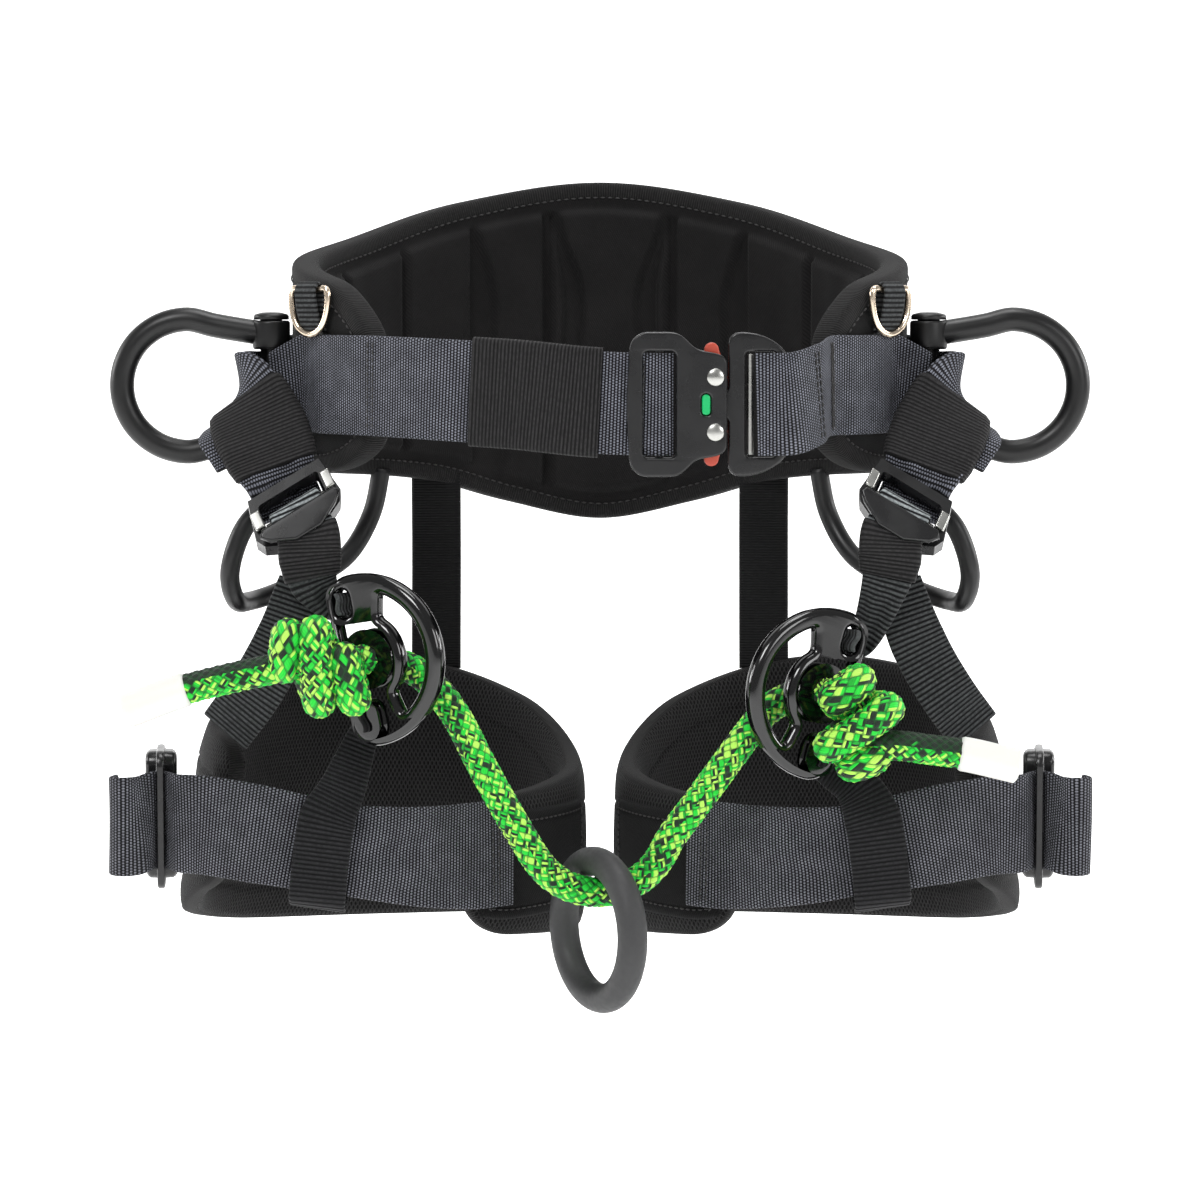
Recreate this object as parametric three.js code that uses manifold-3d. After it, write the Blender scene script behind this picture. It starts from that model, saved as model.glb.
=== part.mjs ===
// Tree climbing saddle: a padded waist belt with two side rings, two padded leg loops and a rope
// bridge with its ring. Millimetres, +Z up. The origin is the centre of the waist, level with the
// belt. The wearer faces -Y, so left and right below are those of somebody looking at the front.
import * as THREE from "three";
import { mergeVertices } from "three/addons/utils/BufferGeometryUtils.js";
import Module from "manifold-3d";

const wasm = await Module();
wasm.setup();

// ---------------------------------------------------------------- driving dimensions
const gap = 0.4; // air left between two neighbours that touch on the real saddle
const lay = 0.9; // air under webbing that is laid on a curved pad
const webWide = 44; // main webbing
const webNarrow = 25; // riser webbing
const webThick = 2.2;

const waistHalfWidth = 129; // inside of the waist pad, half of its width
const waistHalfDepth = 105; // inside of the waist pad, half of its depth
const foamThick = 8;
const shellThick = 4;
const wingAngle = 135; // where the waist pad ends, from the middle of the back

const ropeWide = 13;
const ringBore = 47;
const ringBar = 13;
const ringTurn = 30; // how far the bridge ring is turned about the vertical

const sideRingRadius = 30; // middle of the bar of the side ring
const sideRingBar = 11;
const boltRadius = 5;
const boltX = waistHalfWidth + 20;
const boltY = -32;
const eyeRadius = 8.5;
const eyeTall = 13;
const eyeSpan = 59; // outside of the upper eye to the outside of the lower one
const eyeMiddle = 2.5; // height of the middle of that span

const plateThick = 8;
const plateHalfLong = 38;
const plateBow = 37; // how far the bow stands out from the rope hole
const plateRim = 8;
const ropeRoom = 3.3; // all round the rope in the hole of a bridge plate
const ropeHoleRadius = ropeWide / 2 + ropeRoom;
const plateTurn = 30; // how far a bridge plate faces outwards

const buckleTall = webWide + 18;
const buckleWide = 42;
const bucklePlate = 3;
const buckleInside = 7; // room between the two plates of the waist buckle
const buckleX = 33.5;
const buckleY = -120.5; // middle of that room
const buckleZ = -3;
const rivetRadius = 2.9;
const leverThick = 4.6;
const tongueThick = 4.6;

const legX = 103; // middle of a leg loop
const legHalfWidth = 97;
const legHalfDepth = 92;
const legPadThick = 14;

const adjusterDeep = 12;
const sliderRadius = 2.6;
const gearLoopWide = 9;

// ---------------------------------------------------------------- finishes
const finish = (color, roughness, metalness) => () =>
  new THREE.MeshStandardMaterial({ color, roughness, metalness });
const blackFabric = finish(0x0c0c0d, 0.9, 0);
const greyWebbing = finish(0x2c2d31, 0.85, 0);
const blackWebbing = finish(0x161617, 0.85, 0);
const blackAnodised = finish(0x0a0a0b, 0.3, 0.7);
const greyAnodised = finish(0x4a4b4c, 0.6, 0.8);
const brightSteel = finish(0xb9b9b6, 0.25, 1);
const hose = finish(0x0f0f10, 0.45, 0);
const greenRope = finish(0x35d030, 0.8, 0);
const whiteSleeve = finish(0xe8e8e4, 0.5, 0);
const redLever = finish(0xc5482e, 0.45, 0.3);
const greenSignal = finish(0x1c9a4a, 0.5, 0);

const saddle = new THREE.Group();
const sides = [["left", -1], ["right", 1]];

function add(name, geometry, material) {
  const mesh = new THREE.Mesh(geometry, material());
  mesh.name = name;
  saddle.add(mesh);
  return mesh;
}

// ---------------------------------------------------------------- shape helpers
const v = (x, y, z) => new THREE.Vector3(x, y, z);
const rad = THREE.MathUtils.degToRad;

// Reads a short table of [place, value] rows at any place, on a smooth curve through the rows: a
// cubic between two rows, whose slope at a row is that of the line between its two neighbours, and
// level at the two ends.
function along(rows, place) {
  const last = rows.length - 1;
  if (place <= rows[0][0]) return rows[0][1];
  if (place >= rows[last][0]) return rows[last][1];
  const slope = (i) => {
    if (i === 0 || i === last) return 0;
    return (rows[i + 1][1] - rows[i - 1][1]) / (rows[i + 1][0] - rows[i - 1][0]);
  };
  const i = rows.findIndex((row) => row[0] > place) - 1;
  const wide = rows[i + 1][0] - rows[i][0];
  const t = (place - rows[i][0]) / wide;
  const eased = rows[i][1] + (rows[i + 1][1] - rows[i][1]) * t * t * (3 - 2 * t);
  return eased + wide * t * (1 - t) * (slope(i) * (1 - t) - slope(i + 1) * t);
}

// A closed body from raw triangles, turned outwards if the corners run the wrong way round.
function body(points, faces) {
  const signed = faces.reduce((sum, [a, b, c]) => {
    const cross = points[b].clone().cross(points[c]);
    return sum + points[a].dot(cross);
  }, 0);
  const turned = signed < 0 ? faces.map(([a, b, c]) => [a, c, b]) : faces;
  const geometry = new THREE.BufferGeometry();
  const flat = points.flatMap((p) => [p.x, p.y, p.z]);
  geometry.setAttribute("position", new THREE.Float32BufferAttribute(flat, 3));
  geometry.setIndex(turned.flat());
  geometry.computeVertexNormals();
  return geometry;
}

// Joins equal outlines, each a list of corners, into one body. The ends are capped unless it is a
// closed loop.
function loft(outlines, closed = false) {
  const sides = outlines[0].length;
  const points = outlines.flat();
  const faces = [];
  const spans = closed ? outlines.length : outlines.length - 1;
  for (let i = 0; i < spans; i++) {
    const here = i * sides;
    const next = ((i + 1) % outlines.length) * sides;
    for (let j = 0; j < sides; j++) {
      const k = (j + 1) % sides;
      faces.push([here + j, here + k, next + k], [here + j, next + k, next + j]);
    }
  }
  const end = (outlines.length - 1) * sides;
  for (let j = 1; j < sides - 1 && !closed; j++) {
    faces.push([0, j + 1, j], [end, end + j, end + j + 1]);
  }
  return body(points, faces);
}

// Webbing: stations of [middle, across, width] smoothed into a flat strap of one thickness.
// from and to cut a part of its length out, and grow makes that part thicker and wider.
function strap(stations, thick, steps, { from = 0, to = 1, grow = 0 } = {}) {
  const middle = new THREE.CatmullRomCurve3(stations.map((s) => s[0]), false, "centripetal");
  const across = new THREE.CatmullRomCurve3(stations.map((s) => s[1]), false, "centripetal");
  const outlines = [];
  for (let i = 0; i <= steps; i++) {
    const t = from + ((to - from) * i) / steps;
    const place = t * (stations.length - 1);
    const whole = Math.min(Math.floor(place), stations.length - 2);
    const width = THREE.MathUtils.lerp(stations[whole][2], stations[whole + 1][2], place - whole);
    const point = middle.getPoint(t);
    const tangent = middle.getTangent(t);
    const wide = across.getPoint(t);
    wide.addScaledVector(tangent, -wide.dot(tangent)).normalize();
    const normal = wide.clone().cross(tangent).normalize();
    const halfWide = width / 2 + grow;
    const halfThick = thick / 2 + grow;
    const corner = (a, b) =>
      point.clone().addScaledVector(wide, a * halfWide).addScaledVector(normal, b * halfThick);
    outlines.push([corner(1, 1), corner(1, -1), corner(-1, -1), corner(-1, 1)]);
  }
  return loft(outlines);
}

// A round bar or hose along a smooth curve, with flat ends.
function tube(points, radius, sides, steps) {
  const section = new THREE.Shape();
  section.absarc(0, 0, radius, 0, 2 * Math.PI);
  const curve = points.getPoint ? points : new THREE.CatmullRomCurve3(points, false, "centripetal");
  return new THREE.ExtrudeGeometry(section, {
    extrudePath: curve,
    steps,
    curveSegments: sides / 2,
    bevelEnabled: false,
  });
}

// A plate of one thickness, centred on its own plane, which is X across and Y up.
function plate(shape, thick, curveSegments = 4) {
  const geometry = new THREE.ExtrudeGeometry(shape, {
    depth: thick,
    curveSegments,
    bevelEnabled: false,
  });
  return geometry.translate(0, 0, -thick / 2);
}

function cylinder(radius, length, sides = 20) {
  return new THREE.CylinderGeometry(radius, radius, length, sides);
}

// Stands a plate that was drawn in X and Y up in X and Z, facing -Y, at a place.
function stand(geometry, x, y, z) {
  return geometry.rotateX(Math.PI / 2).translate(x, y, z);
}

// A rectangle with round corners around a middle.
function roundRect(Outline, x, y, width, height, r) {
  const shape = new Outline();
  shape.absarc(x + width / 2 - r, y + height / 2 - r, r, 0, Math.PI / 2);
  shape.absarc(x - width / 2 + r, y + height / 2 - r, r, Math.PI / 2, Math.PI);
  shape.absarc(x - width / 2 + r, y - height / 2 + r, r, Math.PI, 1.5 * Math.PI);
  shape.absarc(x + width / 2 - r, y - height / 2 + r, r, 1.5 * Math.PI, 2 * Math.PI);
  shape.closePath();
  return shape;
}

function toSolid(geometry) {
  const bare = geometry.clone();
  for (const name of Object.keys(bare.attributes)) {
    if (name !== "position") bare.deleteAttribute(name);
  }
  const merged = mergeVertices(bare, 1e-4);
  return new wasm.Manifold(
    new wasm.Mesh({
      numProp: 3,
      vertProperties: new Float32Array(merged.attributes.position.array),
      triVerts: new Uint32Array(merged.index.array),
    }),
  );
}

function toGeometry(solid) {
  const mesh = solid.getMesh();
  const geometry = new THREE.BufferGeometry();
  geometry.setAttribute("position", new THREE.BufferAttribute(mesh.vertProperties, 3));
  geometry.setIndex(new THREE.BufferAttribute(mesh.triVerts, 1));
  geometry.computeVertexNormals();
  return geometry;
}

// Puts a geometry in place by a matrix. A mirroring matrix turns its faces inside out, so they are
// turned back.
function placed(geometry, matrix) {
  const moved = geometry.applyMatrix4(matrix);
  if (matrix.determinant() > 0) return moved;
  const flat = moved.index ? moved.toNonIndexed() : moved;
  const place = flat.attributes.position;
  const points = [];
  const faces = [];
  for (let i = 0; i < place.count; i++) {
    points.push(v(place.getX(i), place.getY(i), place.getZ(i)));
    if (i % 3 === 0) faces.push([i, i + 2, i + 1]);
  }
  return body(points, faces);
}

const join = (...parts) =>
  toGeometry(parts.map(toSolid).reduce((sum, part) => sum.add(part)));
const cut = (part, ...tools) =>
  toGeometry(tools.map(toSolid).reduce((rest, tool) => rest.subtract(tool), toSolid(part)));

// An elastic sleeve round a stretch of a strap: a thicker strap, less a longer one that fits it.
function sleeve(stations, thick, from, to, wall, steps = 6) {
  const reach = 0.06;
  const outer = strap(stations, thick, steps, { from, to, grow: 2 * gap + wall });
  const span = to - from;
  const inner = strap(stations, thick, steps + 2, {
    from: from - reach * span,
    to: to + reach * span,
    grow: 2 * gap,
  });
  return cut(outer, inner);
}

// ---------------------------------------------------------------- waist pad and belt
const foamTop = [[0, 98], [30, 88], [60, 70], [90, 60], [120, 50], [wingAngle, 42]];
const foamBottom = [[0, -67], [20, -58], [38, -47], [70, -41], [100, -38], [wingAngle, -34]];

// A point at an angle from the middle of the back, a distance outside the inner face.
function waistPoint(angle, out, z) {
  const x = (waistHalfWidth + out) * Math.sin(rad(angle));
  return v(x, (waistHalfDepth + out) * Math.cos(rad(angle)), z);
}

// Both layers are upright bands whose corners at the two wings are rounded off.
function waistLayer(inner, outer, margin) {
  const wingRound = 16; // degrees of the wing over which its corners round off
  const cornerDrop = 22;
  const outlines = [];
  const edge = wingAngle - margin * 0.5;
  const places = [];
  for (let a = -edge; a < edge; a += 6) places.push(a);
  places.push(-edge + 0.8, -edge + 2.5, edge - 2.5, edge - 0.8, edge);
  places.sort((a, b) => a - b);
  for (const angle of places) {
    const past = Math.max(0, Math.abs(angle) - (edge - wingRound)) / wingRound;
    const drop = cornerDrop * (1 - Math.sqrt(1 - Math.min(1, past) ** 2));
    const top = along(foamTop, Math.abs(angle)) - margin - drop;
    const bottom = along(foamBottom, Math.abs(angle)) + margin + drop * 0.8;
    outlines.push([
      waistPoint(angle, inner, bottom),
      waistPoint(angle, outer, bottom),
      waistPoint(angle, outer, top),
      waistPoint(angle, inner, top),
    ]);
  }
  return loft(outlines);
}

const padOut = foamThick + gap + shellThick;
add("waist_foam", waistLayer(0, foamThick, 2), blackFabric);
add("waist_shell", waistLayer(foamThick + gap, padOut, 0), blackFabric);

const upright = v(0, 0, 1);
const beltRise = 3; // the belt rides a little higher at the wings than at the buckle
const eyeClear = eyeSpan - 2 * eyeTall - 2 * gap; // room for webbing between the eyes of a side ring
const beltOut = padOut + lay + webThick / 2;

// The rear belt runs round the back of the shell from one bolt to the other.
const rearBelt = [];
for (let angle = -93; angle <= 93; angle += 15.5) {
  const easy = Math.abs(angle) > 90 ? 1.4 : 0; // where it leaves the pad for the bolt
  rearBelt.push([waistPoint(angle, beltOut + easy, beltRise), upright, webWide]);
}
for (const [, side] of sides) {
  const end = [v(side * (boltX + 0.5), boltY + boltRadius + 6.5, eyeMiddle), upright, eyeClear - 2];
  if (side < 0) rearBelt.unshift(end);
  else rearBelt.push(end);
}
add("rear_belt", strap(rearBelt, webThick, 56), greyWebbing);

// The front belt: side -1 carries the female half of the buckle, side 1 the male half.
function beltWing(side) {
  const stations = [[v(side * (boltX - 1), boltY - boltRadius - 6, eyeMiddle), upright, eyeClear - 2]];
  for (const angle of [113, 121, 129, wingAngle]) {
    stations.push([waistPoint(side * angle, beltOut + 1.2, beltRise + 1), upright, webWide]);
  }
  return stations;
}

const bucklePlateOut = buckleInside / 2 + bucklePlate / 2;
const barRadius = 1.9;
const barX = buckleX - 8; // the bar that the left belt is looped on
const barY = buckleY + buckleInside / 2 - barRadius - 0.3;
const webAtBuckle = barY - barRadius - gap - webThick / 2;
const beltLeft = [
  ...beltWing(-1),
  [v(-72, -107, beltRise), upright, webWide],
  [v(-36, -116.5, 1), upright, webWide],
  [v(-4, webAtBuckle, buckleZ + 1), upright, webWide],
  [v(barX - 2, webAtBuckle, buckleZ), upright, webWide],
  [v(barX + 6, webAtBuckle, buckleZ), upright, webWide],
];
add("belt_left", strap(beltLeft, webThick, 48), greyWebbing);
add("belt_keeper", sleeve(beltLeft, webThick, 0.61, 0.79, 1.2, 8), blackWebbing);

const tongueX = 69; // middle of the frame of the male half
const frontWeb = buckleY - tongueThick / 2 - gap - webThick / 2;
const beltRight = [
  [v(tongueX - 2, frontWeb, buckleZ), upright, webWide],
  [v(tongueX + 14, frontWeb, buckleZ + 0.5), upright, webWide],
  [v(tongueX + 26, -109.5, 1), upright, webWide],
  ...beltWing(1).reverse(),
];
add("belt_right", strap(beltRight, webThick, 40), greyWebbing);

// ---------------------------------------------------------------- waist buckle
// Outline of both plates: tall on the belt's side, necked in towards the tongue.
function buckleOutline() {
  const left = -buckleWide / 2;
  const right = buckleWide / 2;
  const tall = buckleTall / 2;
  const neck = tall * 0.66;
  const r = 8;
  const shape = new THREE.Shape();
  shape.moveTo(left, -tall + r);
  shape.lineTo(left, tall - r);
  shape.absarc(left + r, tall - r, r, Math.PI, Math.PI / 2, true);
  shape.lineTo(-4, tall);
  shape.bezierCurveTo(4, tall, 4, tall - 7, 11, tall - 8);
  shape.bezierCurveTo(right - 2, tall - 9, right, neck, right, neck - 4);
  shape.lineTo(right, -neck + 4);
  shape.bezierCurveTo(right, -neck, right - 2, -tall + 9, 11, -tall + 8);
  shape.bezierCurveTo(4, -tall + 7, 4, -tall, -4, -tall);
  shape.lineTo(left + r, -tall);
  shape.absarc(left + r, -tall + r, r, -Math.PI / 2, -Math.PI, true);
  return shape;
}

const rivetX = 16;
const rivetZ = 11.8;
const windowX = barX - buckleX;
const signalX = 12;

function circleHole(x, y, radius, sides = 14) {
  const points = [];
  for (let i = 0; i < sides; i++) {
    const a = (2 * Math.PI * i) / sides;
    points.push(new THREE.Vector2(x + radius * Math.cos(a), y + radius * Math.sin(a)));
  }
  return new THREE.Path(points);
}

function bucklePlateShape(front) {
  const shape = buckleOutline();
  shape.holes.push(roundRect(THREE.Path, windowX, 0, 14.5, webWide + 2, 2.5));
  shape.holes.push(circleHole(rivetX, rivetZ, rivetRadius + 0.3));
  shape.holes.push(circleHole(rivetX, -rivetZ, rivetRadius + 0.3));
  if (front) shape.holes.push(roundRect(THREE.Path, signalX, 0, 4.4, 9.6, 2));
  return shape;
}

const frontPlate = stand(plate(bucklePlateShape(true), bucklePlate), buckleX, 0, buckleZ);
add("buckle_front_plate", frontPlate.translate(0, buckleY - bucklePlateOut, 0), blackAnodised);
const rearPlate = stand(plate(bucklePlateShape(false), bucklePlate), buckleX, 0, buckleZ);
add("buckle_rear_plate", rearPlate.translate(0, buckleY + bucklePlateOut, 0), blackAnodised);

const bar = cylinder(barRadius, buckleTall - 14, 12).rotateX(Math.PI / 2);
add("buckle_belt_bar", bar.translate(barX, barY, buckleZ), blackAnodised);

const signal = stand(plate(roundRect(THREE.Shape, 0, 0, 3.6, 8.8, 1.6), bucklePlate - 0.4), 0, 0, 0);
const signalY = buckleY - bucklePlateOut + 0.5;
add("buckle_signal", signal.translate(buckleX + signalX, signalY, buckleZ), greenSignal);

const rivetHead = 0.9;
const rivetLong = buckleInside + 2 * bucklePlate;
for (const [name, up] of [["upper", 1], ["lower", -1]]) {
  const half = rivetLong / 2;
  const profile = [
    [0, -half - rivetHead],
    [rivetRadius * 0.7, -half - rivetHead],
    [rivetRadius + 0.9, -half - 0.3],
    [rivetRadius, -half - 0.25],
    [rivetRadius, half + 0.25],
    [rivetRadius + 0.9, half + 0.3],
    [rivetRadius * 0.7, half + rivetHead],
    [0, half + rivetHead],
  ].map(([r, y]) => new THREE.Vector2(r, y));
  const rivet = new THREE.LatheGeometry(profile, 18);
  const z = buckleZ + up * rivetZ;
  add(`rivet_${name}`, rivet.translate(buckleX + rivetX, buckleY, z), brightSteel);

  // The lever turns on its rivet, and its tip stands out past the plates where a finger pulls it.
  const lever = new THREE.Shape();
  const tip = buckleTall / 2 - rivetZ - 4.6;
  lever.absarc(0, 0, rivetRadius + 2.4, Math.PI, 2 * Math.PI);
  lever.lineTo(1.6, tip - 3);
  lever.absarc(-1.6, tip - 3, 3.2, 0, Math.PI);
  lever.lineTo(-rivetRadius - 2.4, 0);
  lever.holes.push(circleHole(0, 0, rivetRadius + 0.3));
  const arm = plate(lever, leverThick, 7);
  if (up < 0) arm.rotateX(Math.PI);
  add(`lever_${name}`, stand(arm, buckleX + rivetX, buckleY, z), redLever);
}

// Male half: a tongue that goes in between the plates, and a frame with a slot for the belt.
const tongueRoom = 0.5;
const tongueHalf = rivetZ - rivetRadius - 2.4 - tongueRoom;
const frameLeft = -13;
const frameHalf = buckleTall / 2;
const tongueShape = new THREE.Shape();
const tongueTip = buckleX + 1 - tongueX;
tongueShape.moveTo(tongueTip, -tongueHalf);
tongueShape.lineTo(frameLeft, -tongueHalf);
tongueShape.lineTo(frameLeft - 1, -frameHalf + 5);
tongueShape.lineTo(frameLeft + 4, -frameHalf);
tongueShape.bezierCurveTo(2, -frameHalf, 12, -frameHalf + 6, 13, -frameHalf + 14);
tongueShape.lineTo(13, frameHalf - 14);
tongueShape.bezierCurveTo(12, frameHalf - 6, 2, frameHalf, frameLeft + 4, frameHalf);
tongueShape.lineTo(frameLeft - 1, frameHalf - 5);
tongueShape.lineTo(frameLeft, tongueHalf);
tongueShape.lineTo(tongueTip, tongueHalf);
tongueShape.closePath();
tongueShape.holes.push(roundRect(THREE.Path, 0, 0, 13, webWide + 1, 1));
const tongue = stand(plate(tongueShape, tongueThick), tongueX, buckleY, buckleZ);
add("buckle_tongue", tongue, blackAnodised);
const beltPin = cylinder(1.5, webWide - 0.8, 12).rotateX(Math.PI / 2);
add("tongue_belt_pin", beltPin.translate(tongueX - 4.3, buckleY, buckleZ), brightSteel);

// ---------------------------------------------------------------- small rings on the wings
// A closed bar along a closed curve.
function hoop(points, radius, steps, sides) {
  const curve = new THREE.CatmullRomCurve3(points, true, "centripetal");
  const frames = curve.computeFrenetFrames(steps, true);
  const outlines = [];
  for (let i = 0; i < steps; i++) {
    const middle = curve.getPointAt(i / steps);
    const outline = [];
    for (let j = 0; j < sides; j++) {
      const a = (2 * Math.PI * j) / sides;
      const point = middle.clone().addScaledVector(frames.normals[i], radius * Math.cos(a));
      outline.push(point.addScaledVector(frames.binormals[i], radius * Math.sin(a)));
    }
    outlines.push(outline);
  }
  return loft(outlines, true);
}

const smallRingWide = 20;
const smallRingTall = 19;
const smallRingBar = 1.5;
const smallRingAngle = 119;
const smallRingTop = webWide / 2 + 24; // clear of the belt below it
for (const [word, side] of sides) {
  const at = waistPoint(side * smallRingAngle, padOut + 6.5, smallRingTop);
  const face = rad(side * 38); // turned like the wing behind it
  const w = smallRingWide / 2;
  const outline = [[-w, 0], [-w * 0.5, 0], [w * 0.5, 0], [w, 0], [w, -smallRingTall * 0.55]];
  outline.push([w * 0.6, -smallRingTall * 0.92], [0, -smallRingTall * 1.05]);
  outline.push([-w * 0.6, -smallRingTall * 0.92], [-w, -smallRingTall * 0.55]);
  const points = outline.map(([a, b]) => v(a, 0, b));
  const ring = hoop(points, smallRingBar, 22, 6).rotateZ(face);
  add(`small_ring_${word}`, ring.translate(at.x, at.y, at.z), brightSteel);

  // The tab is folded over the straight side of the ring and sewn to the wing above the belt.
  const inset = smallRingBar + gap;
  const tab = new THREE.Shape();
  tab.moveTo(inset + 1.4, -1);
  tab.absarc(0, 0, inset + 1.4, 0, Math.PI);
  tab.lineTo(-inset - 1.4, -1);
  tab.lineTo(-inset - 1.2, -15);
  tab.lineTo(-inset + 0.2, -15);
  tab.lineTo(-inset, 0);
  tab.absarc(0, 0, inset, Math.PI, 0, true);
  tab.lineTo(inset, -1);
  tab.closePath();
  const loop = plate(tab, smallRingWide * 0.62, 6).rotateX(Math.PI / 2).rotateZ(Math.PI / 2);
  loop.rotateZ(face);
  add(`small_ring_tab_${word}`, loop.translate(at.x, at.y, at.z), blackWebbing);
}

// ---------------------------------------------------------------- side rings on their bolts
const sideRingX = boltX + 38;
const eyeZ = (eyeSpan - eyeTall) / 2;
for (const [word, side] of sides) {
  // The bar leaves the upper eye, runs round the bow and comes back to the lower eye.
  const points = [v(side * boltX, boltY, eyeMiddle + eyeZ)];
  const turn = 230; // degrees of the bow that are a true circle
  const arcSteps = 9;
  for (let i = 0; i <= arcSteps; i++) {
    const a = rad(turn / 2 - (turn * i) / arcSteps);
    const x = sideRingX + sideRingRadius * Math.cos(a);
    points.push(v(side * x, boltY, eyeMiddle + sideRingRadius * Math.sin(a)));
  }
  points.push(v(side * boltX, boltY, eyeMiddle - eyeZ));
  const bow = tube(points, sideRingBar / 2, 10, 30);
  const eyes = [1, -1].map((up) =>
    cylinder(eyeRadius, eyeTall, 16)
      .rotateX(Math.PI / 2)
      .translate(side * boltX, boltY, eyeMiddle + up * eyeZ),
  );
  const hole = cylinder(boltRadius + 0.3, eyeSpan + 40, 14).rotateX(Math.PI / 2);
  hole.translate(side * boltX, boltY, eyeMiddle);
  add(`side_ring_${word}`, cut(join(bow, ...eyes), hole), blackAnodised);

  const headTall = 3.5;
  const half = eyeSpan / 2 + gap;
  const profile = [
    [0, -half - headTall],
    [boltRadius + 2, -half - headTall],
    [boltRadius + 2, -half],
    [boltRadius, -half],
    [boltRadius, half],
    [boltRadius + 3, half],
    [boltRadius + 3, half + headTall - 1],
    [boltRadius + 1.6, half + headTall],
    [0, half + headTall],
  ].map(([r, y]) => new THREE.Vector2(r, y));
  const bolt = new THREE.LatheGeometry(profile, 14).rotateX(Math.PI / 2);
  add(`side_bolt_${word}`, bolt.translate(side * boltX, boltY, eyeMiddle), blackAnodised);
}

// ---------------------------------------------------------------- leg suspension
// Everything below comes twice. A point is given for the right side and mirrored for the left.
const suspensionThick = 4.6; // two layers of main webbing

function mirrored(side, rows) {
  return rows.map(([p, across, width]) => [
    v(side * p[0], p[1], p[2]),
    v(side * across[0], across[1], across[2]),
    width,
  ]);
}

const adjusterAt = v(boltX - 14, -79, -51); // middle of the adjuster on the right
const strapDown = v(-0.41, -0.35, -0.845).normalize(); // the way the strap runs there
const barAlong = v(-0.82, 0.25, 0.5).normalize(); // the way its slider bar lies
const adjusterOut = barAlong.clone().cross(strapDown).normalize(); // the way it faces
const adjusterTop = 13;

for (const [word, side] of sides) {
  const end = adjusterAt.clone().addScaledVector(strapDown, -adjusterTop - 3.5);
  const wrap = boltRadius + gap + suspensionThick / 2 + 1;
  const slope = [barAlong.x, barAlong.y, barAlong.z];
  const rows = [
    [[boltX - 3, boltY + wrap, eyeMiddle], [0, 0, 1], eyeClear - 1.2],
    [[boltX + wrap - 2, boltY + wrap - 3.7, eyeMiddle], [0, 0, 1], eyeClear - 1.2],
    [[boltX + wrap + 2, boltY - 8, eyeMiddle], [0.2, -0.1, 0.97], eyeClear - 1.2],
    [[boltX + 10, -55, -1], [-0.5, 0.05, 0.8], webWide - 8],
    [[boltX + 2, -65.5, -17], slope, webWide - 4],
    [[end.x + 4, end.y + 3.5, end.z + 9], slope, webWide - 6],
    [[end.x, end.y, end.z], slope, webWide - 12],
  ];
  const stations = mirrored(side, rows);
  add(`suspension_${word}`, strap(stations, suspensionThick, 40), greyWebbing);
  const keeper = sleeve(stations, suspensionThick, 0.63, 0.84, 1.2, 12);
  add(`suspension_keeper_${word}`, keeper, blackWebbing);
}

// ---------------------------------------------------------------- adjusters
// Puts a shape drawn along the slider bar (X), up the strap (Y) and outwards (Z) on the saddle.
function onAdjuster(side, geometry) {
  const up = strapDown.clone().negate();
  const basis = new THREE.Matrix4().makeBasis(barAlong, up, adjusterOut);
  basis.setPosition(adjusterAt).premultiply(new THREE.Matrix4().makeScale(side, 1, 1));
  return placed(geometry, basis);
}

const adjusterHalf = 21.5;
const windowHalf = 15.5;
const windowTop = 8.5;
const windowFoot = -6;
function adjusterFrame() {
  const shape = new THREE.Shape();
  shape.moveTo(-adjusterHalf + 3, adjusterTop);
  shape.lineTo(-adjusterHalf - 0.5, -5);
  shape.lineTo(-adjusterHalf + 2, -9.5);
  shape.lineTo(-8.5, -15);
  shape.lineTo(8.5, -15);
  shape.lineTo(adjusterHalf - 2, -9.5);
  shape.lineTo(adjusterHalf + 0.5, -5);
  shape.lineTo(adjusterHalf - 3, adjusterTop);
  shape.closePath();
  const hole = roundRect(THREE.Path, 0, (windowTop + windowFoot) / 2, 2 * windowHalf,
    windowTop - windowFoot, 1.5);
  shape.holes.push(hole);
  return plate(shape, adjusterDeep, 4);
}

const sliderRest = windowFoot + sliderRadius + gap; // the slider at rest, pulled onto the strap
for (const [word, side] of sides) {
  add(`adjuster_${word}`, onAdjuster(side, adjusterFrame()), blackAnodised);
  const slider = cylinder(sliderRadius, 2 * windowHalf - 2 * gap, 10).rotateZ(Math.PI / 2);
  slider.translate(0, sliderRest, adjusterDeep / 2 - sliderRadius);
  add(`adjuster_slider_${word}`, onAdjuster(side, slider), brightSteel);
}

// ---------------------------------------------------------------- bridge plates
// A plate is drawn with its rope hole at 0, its straight side at -X and its bow at +X.
const straightSide = 16; // from the rope hole to the straight side
const webSlot = { x: -7.5, y: 26, wide: 7.5, tall: 14 };
const strutRadius = 15.5; // outside of the ring of metal round the rope hole
const cornerRadius = straightSide - 3;

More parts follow.
